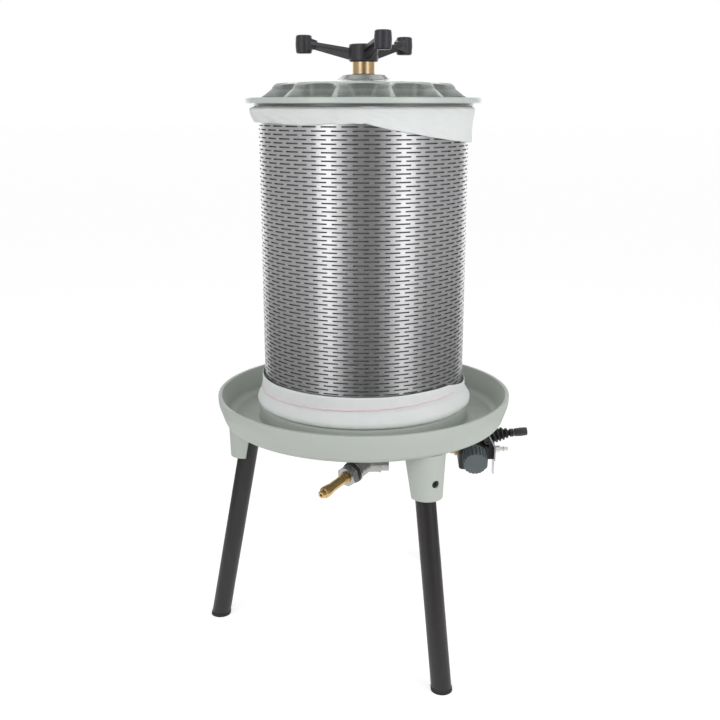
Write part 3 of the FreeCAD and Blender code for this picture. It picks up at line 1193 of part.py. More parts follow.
def make_port_plug():
    bend_out = V(BRACKET_X + BRACKET_THICKNESS, 0, BRACKET_BEND)
    behind = BRACKET_THICKNESS + VALVE_BLOCK_DEPTH / 2
    face = bend_out + flange_way() * PORT_PLUG_RISE - flange_normal() * behind
    face.y = -VALVE_BLOCK_WIDTH / 2
    collar = rod(PORT_PLUG_RADIUS, face, V(0, -1, 0), PORT_PLUG_LENGTH)
    recess = rod(PORT_PLUG_RADIUS / 2, face + V(0, -PORT_PLUG_LENGTH / 2, 0), V(0, -1, 0), PORT_PLUG_LENGTH)
    return collar.cut(recess)


def make_air_inlet():
    """Bulkhead plug for a quick coupler, through the bracket's upright."""
    x_way = V(1, 0, 0)
    face = BRACKET_X + BRACKET_THICKNESS
    profile = turned([
        (INLET_TIP_RADIUS / 2, -BRACKET_THICKNESS),
        (INLET_RADIUS, -BRACKET_THICKNESS),
        (INLET_RADIUS, 0),
        (INLET_COLLAR_RADIUS, 0),
        (INLET_COLLAR_RADIUS, INLET_LENGTH - 2 * INLET_GROOVE, TURNED_EDGE),
        (INLET_TIP_RADIUS, INLET_LENGTH - INLET_GROOVE),
        (INLET_TIP_RADIUS, INLET_LENGTH),
        (INLET_BEAD_RADIUS, INLET_LENGTH + TURNED_EDGE, TURNED_EDGE / 2),
        (INLET_BEAD_RADIUS, INLET_LENGTH + INLET_GROOVE, TURNED_EDGE),
        (INLET_TIP_RADIUS, INLET_LENGTH + INLET_GROOVE + TURNED_EDGE),
        (INLET_TIP_RADIUS, INLET_LENGTH + INLET_TIP_LENGTH, TURNED_EDGE),
        (INLET_TIP_RADIUS / 2, INLET_LENGTH + INLET_TIP_LENGTH),
    ])
    return placed_along(profile, V(face, 0, AIR_HEIGHT), x_way)


def lever_pivot():
    return flange_middle() - flange_normal() * (LEVER_BALL_RADIUS / 2)


def lever_direction():
    a = math.radians(FLANGE_TILT - LEVER_THROW)
    return V(math.cos(a), 0, math.sin(a))


def make_lever():
    ball = Part.makeSphere(LEVER_BALL_RADIUS, lever_pivot())
    shaft = rod(LEVER_RADIUS, lever_pivot(), lever_direction(), LEVER_ROD_LENGTH)
    return ball.fuse(shaft)


def make_lever_knob():
    start = LEVER_LENGTH - LEVER_KNOB_LENGTH
    end = LEVER_KNOB_RADIUS - LEVER_KNOB_BARREL
    knob = turned([
        (0, start),
        (end, start, CAST_EDGE),
        (LEVER_KNOB_RADIUS, start + LEVER_KNOB_LENGTH / 2, KNOB_CROWN_RADIUS),
        (end, LEVER_LENGTH, CAST_EDGE),
        (0, LEVER_LENGTH),
    ])
    knob = placed_along(knob, lever_pivot(), lever_direction())
    return knob.cut(rod(LEVER_RADIUS, lever_pivot(), lever_direction(), LEVER_ROD_LENGTH))


def make_boot():
    """Rubber bellows: folds that lean with the flange at the root and with the lever at the tip."""
    middle = flange_middle()
    normal = flange_normal()
    along = lever_direction()
    wires = []
    last = len(BOOT_ROOT_RADII) - 1
    for i, radius in enumerate(BOOT_ROOT_RADII):
        share = i / last
        facing = (normal * (1 - share) + along * share).normalize()
        crest_low = lever_pivot() + along * (BOOT_START + i * BOOT_PITCH) if i else middle
        crest_high = crest_low + along * (BOOT_PITCH * BOOT_CREST_SHARE)
        valley = crest_low + along * (BOOT_PITCH * BOOT_VALLEY_SHARE)
        wires.append(Part.Wire(Part.makeCircle(radius, crest_low, facing)))
        wires.append(Part.Wire(Part.makeCircle(radius - BOOT_CREST_SLOPE, crest_high, facing)))
        if i < last:
            wires.append(Part.Wire(Part.makeCircle(radius - BOOT_FOLD_DEPTH, valley, facing)))
    boot = Part.makeLoft(wires, True, True)
    flange_side = rod(DRILL_LENGTH, middle - normal * DRILL_LENGTH, normal, DRILL_LENGTH)
    bush_room = rod(BUSHING_RADIUS, middle, normal, BUSHING_RISE + BODY_GAP)
    swing = rod(BOOT_BORE_RADIUS, lever_pivot(), along, LEVER_LENGTH)
    return boot.cut([flange_side, bush_room, swing])


def build_parts():
    parts = {"tray": make_tray(), "leg_screws": make_leg_screws(), "juice_outlet": make_juice_outlet()}
    for name, azimuth in zip(("front", "rear", "left"), leg_azimuths()):
        parts["leg_" + name] = make_leg(azimuth)
        parts["foot_cap_" + name] = make_foot_cap(azimuth)
    bottom, top = bladder_levels()
    parts["spindle"] = make_spindle()
    parts["spindle_seal"] = make_spindle_seal()
    parts["spindle_nut"] = make_spindle_nut()
    parts["bladder"] = make_bladder()
    parts["bladder_clamp_lower"] = make_bladder_clamp(bottom + BLADDER_NECK_LENGTH / 2)
    parts["bladder_clamp_upper"] = make_bladder_clamp(top - BLADDER_NECK_LENGTH / 2)
    parts["basket"] = make_basket()
    parts["basket_hoop_lower"] = make_hoop(BASKET_FOOT)
    parts["basket_hoop_upper"] = make_hoop(BASKET_RIM - HOOP_HEIGHT)
    parts["cloth_liner"] = make_cloth_liner()
    parts["cloth_cuff_lower"] = make_bottom_cuff()
    parts["cloth_cuff_upper"] = make_top_cuff()
    parts["lid"] = make_lid()
    parts["lid_gasket"] = make_gasket()
    parts["lid_bush"] = make_lid_bush()
    parts["thrust_washer"] = make_thrust_washer()
    parts["brass_nut"] = make_brass_nut()
    parts["handle"] = make_handle()
    parts["handle_pin"] = make_handle_pin()
    parts["valve_body"] = make_valve_body()
    parts["valve_stub_plug"] = make_stub_plug()
    parts["branch_ring"] = make_branch_ring()
    parts["branch_seal"] = make_branch_seal()
    parts["branch_nut"] = make_branch_nut()
    parts["brass_nozzle"] = make_nozzle()
    parts["neck_fitting"] = make_neck_fitting()
    parts["air_pipe"] = make_air_pipe()
    parts["port_fitting"] = make_port_fitting()
    parts["regulator_body"] = make_regulator_body()
    parts["regulator_bonnet"] = make_bonnet()
    parts["regulator_hub"] = make_dial_hub()
    parts["regulator_knob"] = make_dial()
    parts["regulator_nipple"] = make_regulator_nipple()
    parts["bracket"] = make_bracket()
    parts["bracket_screws"] = make_bracket_screws()
    parts["hand_valve"] = make_hand_valve()
    parts["valve_port_plug"] = make_port_plug()
    parts["air_inlet"] = make_air_inlet()
    parts["lever_boot"] = make_boot()
    parts["lever"] = make_lever()
    parts["lever_knob"] = make_lever_knob()
    return parts


def main():
    os.makedirs("parts", exist_ok=True)
    for name, shape in build_parts().items():
        shape.exportStep("parts/" + name + ".step")


main()
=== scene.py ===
import math

import bpy
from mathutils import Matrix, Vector, noise


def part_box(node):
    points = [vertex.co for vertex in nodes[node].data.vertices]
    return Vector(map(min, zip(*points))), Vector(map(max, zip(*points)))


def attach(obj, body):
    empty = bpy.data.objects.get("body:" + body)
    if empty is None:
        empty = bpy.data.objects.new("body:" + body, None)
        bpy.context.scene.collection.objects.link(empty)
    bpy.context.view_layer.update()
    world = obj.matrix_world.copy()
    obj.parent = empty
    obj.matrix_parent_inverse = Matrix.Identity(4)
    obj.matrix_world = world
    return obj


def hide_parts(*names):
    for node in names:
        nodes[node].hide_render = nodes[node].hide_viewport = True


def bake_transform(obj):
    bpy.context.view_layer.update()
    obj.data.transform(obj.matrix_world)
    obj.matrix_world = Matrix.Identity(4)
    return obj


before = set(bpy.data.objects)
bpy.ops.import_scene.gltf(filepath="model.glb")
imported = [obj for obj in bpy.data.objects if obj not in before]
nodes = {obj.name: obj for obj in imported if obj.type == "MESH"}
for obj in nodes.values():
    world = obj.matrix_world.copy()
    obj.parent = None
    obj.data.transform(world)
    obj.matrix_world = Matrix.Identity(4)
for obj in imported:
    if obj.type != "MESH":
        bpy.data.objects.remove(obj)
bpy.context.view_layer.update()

# Camera, fitted to the photograph
CAMERA_PLACE = (0.0, -1.536, 0.882)
CAMERA_TILT = 75.04          # degrees from straight down
CAMERA_LENS = 47.83
CAMERA_SENSOR = 36.0
CAMERA_SHIFT = -0.0051

# Light
ROOM_LIGHT = 0.91            # plain light from the sides of the room
CEILING_LIGHT = 0.27         # and from straight above
KEY_LIGHT = 15.0             # watts of the big lamp at the front left
FILL_LIGHT = 16.5            # and of the one at the front right

# Pale floor, and grey studio walls that only reflections show
FLOOR_REACH = 40.0
FLOOR_GLOW = 0.60            # seen by the eye and in reflections; it lights nothing
WALL_DISTANCE = 0.85
WALL_FOOT = 0.001
WALL_TOP = 2.6
WALL_STEPS = 96
WALL_STRENGTH = 2.1
WALL_DIM = 0.34              # share of that strength near the floor
WALL_RISE = (0.10, 0.60)     # heights between which it grows to the whole
# degrees from the front towards the right, and grey as a share of WALL_STRENGTH
WALL_GREYS = [(-180, 0.75), (-138, 0.70), (-124, 0.24), (-66, 0.26), (-48, 0.36), (-42, 0.88), (-31, 0.88),
              (-22, 0.36), (-10, 0.14), (12, 0.11), (28, 0.36), (35, 0.83), (46, 0.83), (54, 0.42),
              (66, 0.26), (124, 0.24), (138, 0.70), (180, 0.75)]

# Dust, and painted shade in hollows, on the finishes
PALE_DUST = (0.62, 0.60, 0.56, 1)
HOLLOW_REACH = 0.09
HOLLOW_SHADE = 0.12          # share of its colour that the painted shade keeps in the deepest hollow

# Basket
SLOT_PITCH_STEPS = 8         # steps round the sheet from one slot to the next
SLOT_STEPS = 6               # steps that are open
SLOTS_ROUND = 33
SLOT_ROWS = 75
SLOT_HEIGHT = 0.0021
PLAIN_FOOT = 0.012
PLAIN_TOP = 0.012
SHEET_THICKNESS = 0.0015

# Press cloth
CLOTH_THICKNESS = 0.0009
CLOTH_STEPS = 360            # steps round the basket
THREADS_PER_METRE = 1100.0
SEAM_FROM, SEAM_TO = 104, 418    # degrees from the front towards the right
SEAM_RADIUS = 0.0016

# Bladder
BLADDER_NECK = 0.0176        # radius in the clamps
BLADDER_NECK_LENGTH = 0.018
BLADDER_ROUNDING = 0.022     # height in which it widens
BLADDER_FLUTES = 6

# Rubber boot of the lever
FLANGE_TILT = math.radians(28)   # of the flange that it starts on
LEVER_TILT = math.radians(6)
LEVER_END = 0.004            # from the lever's low corner to the point that it turns about
BOOT_START = 0.002           # from that point to the flange
FIRST_FOLD_END = 0.008
BOOT_GAP = 0.0006            # to the lever's knob
BOOT_RADII = [0.0170, 0.0146, 0.0130, 0.0114, 0.0090, 0.0070]
FOLD_DEPTH = 0.0032
FOLD_STEPS = 12

# Lid casting in millimetres: radius, and height above its foot
LID_UNDERSIDE = [(14.4, 44.3), (14.4, 24.3), (26.0, 24.3), (26.0, 31.6), (110.0, 26.8), (117.0, 5.8),
                 (144.0, 5.8), (148.0, 0.0), (158.0, 0.0), (158.0, 2.5), (167.0, 2.5), (167.0, 0.0),
                 (170.0, 0.0), (170.0, 3.8), (183.2, 3.8), (184.4, 5.0), (184.4, 11.1), (183.2, 12.3)]
LID_BOSS = [(45.0, 38.4), (42.6, 38.8), (40.9, 39.7), (34.4, 45.3), (33.4, 46.0), (32.0, 46.3),
            (21.3, 46.3), (21.3, 44.3), (14.4, 44.3)]
LID_FLANGE_TOP = 12.3
LID_FILLET = [(5.0, 0.0), (1.6, 0.5), (0.4, 1.8)]    # out from the dome, and up from the flange
LID_STEPS = 720

# Lid's dome in millimetres
DOME_FOOT = 158.0            # radius of the ridges at the flange
DOME_SHOULDER = 141.0        # and at the shoulder
DOME_ROWS = 8
SHOULDER_LEVEL = 33.8
ROUNDED_SHARE = 0.15         # share of the wall's slope that lies in the rounded shoulder
RIDGE_ROUNDING = 9.0
POCKET_ROUNDING = 4.0
POCKETS = 12
POCKET_FOOT_DEPTH = 32.0
POCKET_TOP_DEPTH = 18.5
POCKET_WIDTH = 0.91          # share of its twelfth that a pocket takes at the flange
POCKET_WIDENING = 0.05       # and how much more at the shoulder
POCKET_FLATNESS = 3.6
CROWN_RUN = 99.0
CROWN_RISE = 4.8             # over that run
CROWN_END = 46.0

# Brass nozzle: way that the branch points, and shape as (distance back from the tip, radius) in millimetres
BRANCH_WAY = Vector((-0.584, -0.800, -0.144)).normalized()
NOZZLE_SHAPE = [(9.0, 2.2), (0.3, 2.2), (0.0, 2.5), (0.0, 5.0), (0.3, 5.7), (1.2, 6.3), (2.6, 6.6),
                (6.6, 6.7), (7.2, 7.0), (7.2, 8.0), (7.6, 8.8), (8.6, 9.4), (10.5, 9.8), (14.0, 9.8),
                (19.0, 9.4), (24.0, 8.7), (27.0, 8.1), (28.0, 8.0), (62.8, 8.0), (62.8, 9.4), (63.3, 9.9),
                (66.5, 9.9), (67.0, 9.4), (67.0, 7.9), (88.0, 7.9)]


def srgb(red, green, blue):
    """Linear colour of the 0 to 255 values that a screen shows."""
    def linear(value):
        share = value / 255
        return share / 12.92 if share < 0.04045 else ((share + 0.055) / 1.055) ** 2.4
    return (linear(red), linear(green), linear(blue), 1.0)


def feed(tree, node, sockets):
    """Gives each socket a plain value or another node's output."""
    for key, value in sockets.items():
        if isinstance(value, bpy.types.NodeSocket):
            tree.links.new(value, node.inputs[key])
        else:
            node.inputs[key].default_value = value


def add(tree, kind, sockets=None, **settings):
    node = tree.nodes.new(kind)
    for key, value in settings.items():
        setattr(node, key, value)
    feed(tree, node, sockets or {})
    return node


def math_node(tree, operation, first, second=0.0, third=0.0):
    return add(tree, "ShaderNodeMath", {0: first, 1: second, 2: third}, operation=operation).outputs[0]


def new_group(name, inputs, outputs):
    group = bpy.data.node_groups.new(name, "ShaderNodeTree")
    for label, kind, value in inputs:
        socket = group.interface.new_socket(label, in_out="INPUT", socket_type="NodeSocket" + kind)
        if value is not None:
            socket.default_value = value
    for label, kind in outputs:
        group.interface.new_socket(label, in_out="OUTPUT", socket_type="NodeSocket" + kind)
    return group, add(group, "NodeGroupInput").outputs, add(group, "NodeGroupOutput")


def grain_group():
    """Uneven surface: a value between Low and High for roughness, and a height for bump."""
    fine_share, patch_share, patch_scale = 0.4, 0.6, 0.05
    group, given, result = new_group(
        "surface_grain",
        [("Place", "Vector", None), ("Stretch", "Vector", (1, 1, 1)), ("Size", "Float", 900.0),
         ("Low", "Float", 0.3), ("High", "Float", 0.4)],
        [("Value", "Float"), ("Height", "Float")])
    stretched = add(group, "ShaderNodeVectorMath", {0: given["Place"], 1: given["Stretch"]},
                    operation="MULTIPLY")
    fine = add(group, "ShaderNodeTexNoise", {"Vector": stretched.outputs[0], "Scale": given["Size"],
                                             "Detail": 3.0, "Roughness": 0.6})
    slow = math_node(group, "MULTIPLY", given["Size"], patch_scale)
    patches = add(group, "ShaderNodeTexNoise", {"Vector": stretched.outputs[0], "Scale": slow, "Detail": 4.0})
    both = math_node(group, "ADD", math_node(group, "MULTIPLY", fine.outputs[0], fine_share),
                     math_node(group, "MULTIPLY", patches.outputs[0], patch_share))
    spread = add(group, "ShaderNodeMapRange", {"Value": both, "From Min": 0.35, "From Max": 0.65,
                                               "To Min": given["Low"], "To Max": given["High"]})
    feed(group, result, {"Value": spread.outputs[0], "Height": fine.outputs[0]})
    return group


def tone_group():
    """Colour that wanders a little lighter and darker over the surface."""
    group, given, result = new_group(
        "wandering_tone",
        [("Place", "Vector", None), ("Color", "Color", (0.5, 0.5, 0.5, 1)), ("Amount", "Float", 0.1),
         ("Size", "Float", 14.0)],
        [("Color", "Color")])
    broad = add(group, "ShaderNodeTexNoise", {"Vector": given["Place"], "Scale": given["Size"],
                                              "Detail": 5.0, "Roughness": 0.62})
    off_middle = math_node(group, "SUBTRACT", broad.outputs[0], 0.5)
    swing = math_node(group, "MULTIPLY", off_middle, given["Amount"])
    level = math_node(group, "MULTIPLY_ADD", swing, 2.0, 1.0)
    shaded = add(group, "ShaderNodeVectorMath", {0: given["Color"], "Scale": level}, operation="SCALE")
    feed(group, result, {"Color": shaded.outputs[0]})
    return group


def edge_group():
    """Rounded edges: a normal that rolls over each edge, and a mask of the edges."""
    group, given, result = new_group(
        "rolled_edge", [("Radius", "Float", 0.0008)], [("Normal", "Vector"), ("Edge", "Float")])
    rolled = add(group, "ShaderNodeBevel", {"Radius": given["Radius"]}, samples=4)
    flat = add(group, "ShaderNodeNewGeometry")
    agree = add(group, "ShaderNodeVectorMath", {0: rolled.outputs[0], 1: flat.outputs["Normal"]},
                operation="DOT_PRODUCT")
    mask = add(group, "ShaderNodeMapRange", {"Value": agree.outputs["Value"], "From Min": 0.99,
                                             "From Max": 0.80, "To Min": 0.0, "To Max": 1.0})
    feed(group, result, {"Normal": rolled.outputs[0], "Edge": mask.outputs[0]})
    return group


def dust_and_painted_shade_group():
    """Mask of faces that look up, in patches, for a dusting and for painted shade on tops."""
    group, given, result = new_group(
        "settled_dust", [("Place", "Vector", None), ("Amount", "Float", 0.2)], [("Mask", "Float")])
    facing = add(group, "ShaderNodeSeparateXYZ", {0: add(group, "ShaderNodeNewGeometry").outputs["Normal"]})
    upward = add(group, "ShaderNodeMapRange", {"Value": facing.outputs[2], "From Min": 0.4, "From Max": 1.0})
    cloud = add(group, "ShaderNodeTexNoise", {"Vector": given["Place"], "Scale": 60.0, "Detail": 6.0})
    thick = add(group, "ShaderNodeMapRange", {"Value": cloud.outputs[0], "From Min": 0.4, "From Max": 0.7})
    upward_share = math_node(group, "MULTIPLY", upward.outputs[0], thick.outputs[0])
    feed(group, result, {"Mask": math_node(group, "MULTIPLY", upward_share, given["Amount"])})
    return group


def painted_hollow_shade_group():
    """Mask of deep hollows, where the colour is darkened as painted shade."""
    group, given, result = new_group(
        "painted_hollow_shade", [("Reach", "Float", 0.03), ("Amount", "Float", 0.5)], [("Mask", "Float")])
    openness = add(group, "ShaderNodeAmbientOcclusion", {"Distance": given["Reach"]}, samples=12)
    closed = add(group, "ShaderNodeMapRange", {"Value": openness.outputs["AO"], "From Min": 0.94,
                                               "From Max": 0.60})
    feed(group, result, {"Mask": math_node(group, "MULTIPLY", closed.outputs[0], given["Amount"])})
    return group


def lathe_group():
    """Fine tool rings across an axis, for turned metal."""
    waver = 3.0              # how far the rings stray, as an angle of their wave
    group, given, result = new_group(
        "lathe_rings", [("Place", "Vector", None), ("Axis", "Vector", (0, 0, 1)), ("Pitch", "Float", 0.0004)],
        [("Height", "Float")])
    along = add(group, "ShaderNodeVectorMath", {0: given["Place"], 1: given["Axis"]}, operation="DOT_PRODUCT")
    turns = math_node(group, "DIVIDE", along.outputs["Value"], given["Pitch"])
    angle = math_node(group, "MULTIPLY", turns, math.tau)
    wander = add(group, "ShaderNodeTexNoise", {"Vector": given["Place"], "Scale": 300.0})
    phase = math_node(group, "MULTIPLY_ADD", wander.outputs[0], waver, angle)
    feed(group, result, {"Height": math_node(group, "SINE", phase)})
    return group


def weave_group():
    """Plain weave from cloth coordinates in metres."""
    stray = (0.003, 0.003, 0.0)  # how far the threads wander
    group, given, result = new_group(
        "plain_weave", [("Cloth", "Vector", None), ("Threads", "Float", 1100.0)],
        [("Height", "Float"), ("Gap", "Float")])
    wobble = add(group, "ShaderNodeTexNoise", {"Vector": given["Cloth"], "Scale": 90.0, "Detail": 2.0})
    shifted = add(group, "ShaderNodeVectorMath", {0: wobble.outputs["Color"], 1: stray, 2: given["Cloth"]},
                  operation="MULTIPLY_ADD")
    counted = add(group, "ShaderNodeVectorMath", {0: shifted.outputs[0], "Scale": given["Threads"]},
                  operation="SCALE")
    split = add(group, "ShaderNodeSeparateXYZ", {0: counted.outputs[0]})

    def thread(count):
        wave = math_node(group, "SINE", math_node(group, "MULTIPLY", count, math.pi))
        return math_node(group, "ABSOLUTE", wave)

    warp, weft = thread(split.outputs[0]), thread(split.outputs[1])
    over = add(group, "ShaderNodeTexChecker", {"Vector": counted.outputs[0], "Scale": 1.0})
    height = add(group, "ShaderNodeMix", {0: over.outputs["Fac"], 2: warp, 3: weft})
    gap = add(group, "ShaderNodeMapRange", {"Value": math_node(group, "MULTIPLY", warp, weft),
                                            "From Min": 0.25, "From Max": 0.0})
    feed(group, result, {"Height": height.outputs[0], "Gap": gap.outputs[0]})
    return group


GROUPS = {"grain": grain_group(), "tone": tone_group(), "edge": edge_group(), "dust_and_painted_shade": dust_and_painted_shade_group(),
          "hollow": painted_hollow_shade_group(), "lathe": lathe_group(), "weave": weave_group()}


def use(tree, group, **sockets):
    """Places a shared group. Names of sockets are written in lower case."""
    node = add(tree, "ShaderNodeGroup", node_tree=GROUPS[group])
    feed(tree, node, {key.capitalize(): value for key, value in sockets.items()})
    return node


def blend_colours(tree, share, first, second):
    return add(tree, "ShaderNodeMix", {0: share, 6: first, 7: second}, data_type="RGBA").outputs[2]


def blank_material(name):
    material = bpy.data.materials.new(name)
    material.use_nodes = True
    return material, material.node_tree


def start_material(name):
    material, tree = blank_material(name)
    return material, tree, tree.nodes["Principled BSDF"], add(tree, "ShaderNodeTexCoord").outputs["Object"]


def hard_finish(name, color, rough, metal=0.0, coat=0.0, coat_rough=0.1, edge=0.0006, wear_and_painted_highlight=0.0,
                wear_and_painted_highlight_color=None, size=900.0, depth=0.00001, stretch=(1, 1, 1), vary=0.06, patch=14.0,
                dust_and_painted_shade=0.0, dust_and_painted_shade_color=PALE_DUST, hollow=0.0, rings=None):
    """Paint, plastic, rubber or metal with grain, rolled edges lightened by rubbing and by painted
    highlights, a dusting and painted shade on faces that look up, and painted shade in hollows.

    rough is the lowest and highest roughness, edge the radius of the rolled and lightened edges, size and
    depth those of the grain, vary and patch the amount and size of the tone's wandering, and rings the
    axis, pitch and strength of tool marks."""
    material, tree, shader, place = start_material(name)
    low, high = rough
    grain = use(tree, "grain", place=place, stretch=stretch, size=size, low=low, high=high)
    rolled = use(tree, "edge", radius=edge)
    colour = use(tree, "tone", place=place, color=color, amount=vary, size=patch).outputs[0]
    # lighter edges: wear, and painted highlights along edges such as the tray's rim
    if wear_and_painted_highlight:
        wear_and_painted_highlight_mask = math_node(tree, "MULTIPLY", rolled.outputs["Edge"], wear_and_painted_highlight)
        colour = blend_colours(tree, wear_and_painted_highlight_mask, colour, wear_and_painted_highlight_color)
    # faces that look up: a pale dusting on most finishes; on the tray and the lid, a colour darker than the
    # paint, which is painted shade on their tops
    if dust_and_painted_shade:
        upward_share = use(tree, "dust_and_painted_shade", place=place, amount=dust_and_painted_shade)
        colour = blend_colours(tree, upward_share.outputs[0], colour, dust_and_painted_shade_color)
    # painted shade: in hollows the colour is darkened towards a dark copy of itself
    if hollow:
        deep = use(tree, "hollow", reach=HOLLOW_REACH, amount=hollow)
        shade = tuple(HOLLOW_SHADE * c for c in color[:3]) + (1,)
        colour = blend_colours(tree, deep.outputs[0], colour, shade)
    height = grain.outputs["Height"]
    if rings:
        axis, pitch, strength = rings
        turned = use(tree, "lathe", place=place, axis=axis, pitch=pitch)
        height = math_node(tree, "MULTIPLY_ADD", turned.outputs[0], strength, height)
    bump = add(tree, "ShaderNodeBump", {"Height": height, "Distance": depth,
                                        "Normal": rolled.outputs["Normal"]})
    feed(tree, shader, {"Base Color": colour, "Roughness": grain.outputs["Value"],
                        "Normal": bump.outputs[0], "Metallic": metal, "Coat Weight": coat,
                        "Coat Roughness": coat_rough})
    return material


def cloth_finish(name, color, shade):
    """Press cloth: weave, slight shade in the gaps, soft sheen."""
    material, tree, shader, place = start_material(name)
    flat = add(tree, "ShaderNodeUVMap", uv_map="cloth").outputs[0]
    weave = use(tree, "weave", cloth=flat, threads=THREADS_PER_METRE)
    colour = use(tree, "tone", place=place, color=color, amount=0.05, size=9.0).outputs[0]
    colour = blend_colours(tree, math_node(tree, "MULTIPLY", weave.outputs["Gap"], 0.5), colour, shade)
    grain = use(tree, "grain", place=place, size=500.0, low=0.82, high=0.96)
    bump = add(tree, "ShaderNodeBump", {"Height": weave.outputs["Height"], "Distance": 0.0002,
                                        "Strength": 0.8})
    feed(tree, shader, {"Base Color": colour, "Roughness": grain.outputs["Value"],
                        "Normal": bump.outputs[0], "Sheen Weight": 0.25, "Specular IOR Level": 0.25})
    return material


# Hard finishes, each with the values that hard_finish builds it from
HARD_FINISHES = {
    # the tray's and the lid's dust colours are darker than their paint: painted shade on faces that look up
    "tray_enamel": dict(
        color=srgb(190, 196, 189), rough=(0.44, 0.58), coat=0.08, coat_rough=0.2, edge=0.0016, size=420.0,
        # the tray's light edge colour paints a highlight along its rim
        depth=0.00003, vary=0.035, patch=9.0, wear_and_painted_highlight=0.7, wear_and_painted_highlight_color=srgb(226, 231, 227), dust_and_painted_shade=0.14,
        dust_and_painted_shade_color=srgb(150, 152, 148)),
    # the lid's hollow amount paints shade into its pockets
    "lid_enamel": dict(
        color=srgb(196, 204, 199), rough=(0.22, 0.34), coat=0.5, coat_rough=0.08, edge=0.0022, size=420.0,
        # the lid's light edge colour is wear and a painted highlight on its ridges
        depth=0.00003, vary=0.035, patch=9.0, wear_and_painted_highlight=0.5, wear_and_painted_highlight_color=srgb(214, 221, 216), dust_and_painted_shade=0.22,
        dust_and_painted_shade_color=srgb(140, 146, 143), hollow=0.9),
    "leg_coat": dict(
        color=srgb(38, 35, 36), rough=(0.32, 0.52), size=1500.0, depth=0.00003, stretch=(1, 1, 0.12),
        vary=0.2, patch=60.0, wear_and_painted_highlight=0.3, wear_and_painted_highlight_color=srgb(120, 120, 122)),
    "foot_rubber": dict(
        color=srgb(38, 38, 40), rough=(0.6, 0.78), size=1200.0, depth=0.00004, vary=0.15, dust_and_painted_shade=0.2),
    "bladder_rubber": dict(
        color=srgb(34, 34, 36), rough=(0.42, 0.62), size=700.0, depth=0.00006, vary=0.2, patch=22.0,
        dust_and_painted_shade=0.25),
    "boot_rubber": dict(
        color=srgb(17, 17, 18), rough=(0.20, 0.32), size=1600.0, depth=0.00002, vary=0.15, patch=60.0,
        dust_and_painted_shade=0.05),
    "seal_rubber": dict(color=srgb(46, 46, 47), rough=(0.5, 0.65), size=1400.0, depth=0.00003),
    "zinc_steel": dict(
        color=srgb(176, 178, 176), rough=(0.28, 0.46), metal=1.0, edge=0.0003, size=1800.0, depth=0.00002,
        vary=0.12, patch=90.0),
    "rolled_stainless": dict(
        color=srgb(202, 202, 204), rough=(0.21, 0.31), metal=1.0, edge=0.0002, size=260.0, depth=0.000015,
        stretch=(1, 1, 14), vary=0.05, patch=11.0),
    "turned_stainless": dict(
        color=srgb(200, 200, 202), rough=(0.2, 0.34), metal=1.0, depth=0.00002,
        rings=((0, 0, 1), 0.0006, 0.6)),
    "collar_brass": dict(
        color=srgb(208, 180, 140), rough=(0.15, 0.28), metal=1.0, size=1500.0, depth=0.000015, vary=0.1,
        patch=70.0, rings=((0, 0, 1), 0.0005, 0.5)),
    "nozzle_brass": dict(
        color=srgb(208, 176, 122), rough=(0.16, 0.30), metal=1.0, edge=0.0004, size=1500.0, depth=0.00002,
        vary=0.12, patch=90.0, rings=(tuple(BRANCH_WAY), 0.0006, 0.5)),
    "fitting_brass": dict(
        color=srgb(176, 156, 128), rough=(0.28, 0.44), metal=1.0, size=1500.0, depth=0.00002, vary=0.14,
        patch=90.0, rings=((1, 0, 0), 0.0006, 0.5)),
    "cast_nickel": dict(
        color=srgb(176, 175, 172), rough=(0.30, 0.48), metal=0.92, edge=0.0014, size=1100.0, depth=0.00006,
        vary=0.13, patch=60.0, wear_and_painted_highlight=0.35, wear_and_painted_highlight_color=srgb(215, 214, 210), dust_and_painted_shade=0.06),
    "dull_plate": dict(
        color=srgb(172, 173, 175), rough=(0.18, 0.30), metal=1.0, size=1500.0, vary=0.1, patch=60.0,
        wear_and_painted_highlight=0.5, wear_and_painted_highlight_color=srgb(225, 226, 228)),
    "bright_plate": dict(
        color=srgb(205, 206, 208), rough=(0.14, 0.24), metal=1.0, edge=0.0005, size=1500.0, depth=0.000008,
        vary=0.04, patch=50.0),
    "screw_black": dict(
        color=srgb(74, 74, 74), rough=(0.35, 0.5), metal=0.8, edge=0.0003, size=1800.0, depth=0.00002,
        vary=0.2, patch=90.0, wear_and_painted_highlight=0.4, wear_and_painted_highlight_color=srgb(170, 170, 168)),
    "pale_plate": dict(
        color=srgb(236, 236, 232), rough=(0.30, 0.44), metal=0.55, edge=0.0004, size=1500.0, vary=0.05,
        patch=60.0),
    "handle_plastic": dict(
        color=srgb(50, 48, 53), rough=(0.26, 0.42), edge=0.0012, size=2200.0, depth=0.00003, vary=0.1,
        patch=45.0, wear_and_painted_highlight=0.25, wear_and_painted_highlight_color=srgb(92, 90, 96)),
    "regulator_plastic": dict(
        color=srgb(30, 30, 32), rough=(0.36, 0.5), edge=0.0009, size=1900.0, depth=0.00003, vary=0.1,
        wear_and_painted_highlight=0.3, wear_and_painted_highlight_color=srgb(80, 80, 84)),
    "dial_plastic": dict(
        color=srgb(96, 106, 108), rough=(0.4, 0.55), edge=0.0005, size=1900.0, depth=0.00003, vary=0.08,
        patch=60.0, wear_and_painted_highlight=0.35, wear_and_painted_highlight_color=srgb(150, 160, 162)),
    "pipe_plastic": dict(color=srgb(36, 52, 92), rough=(0.25, 0.36), size=1200.0),
    "seam_thread": dict(color=srgb(232, 215, 218), rough=(0.7, 0.85), size=2500.0, depth=0.0001),
}
FINISHES = {name: hard_finish(name, **values) for name, values in HARD_FINISHES.items()}
FINISHES["press_cloth"] = cloth_finish("press_cloth", srgb(240, 243, 242), srgb(202, 207, 208))
# the liner's cloth is painted dark grey: painted shade inside the basket, seen through the slots
FINISHES["painted_shade_cloth"] = cloth_finish("painted_shade_cloth", srgb(124, 124, 122), srgb(98, 98, 97))

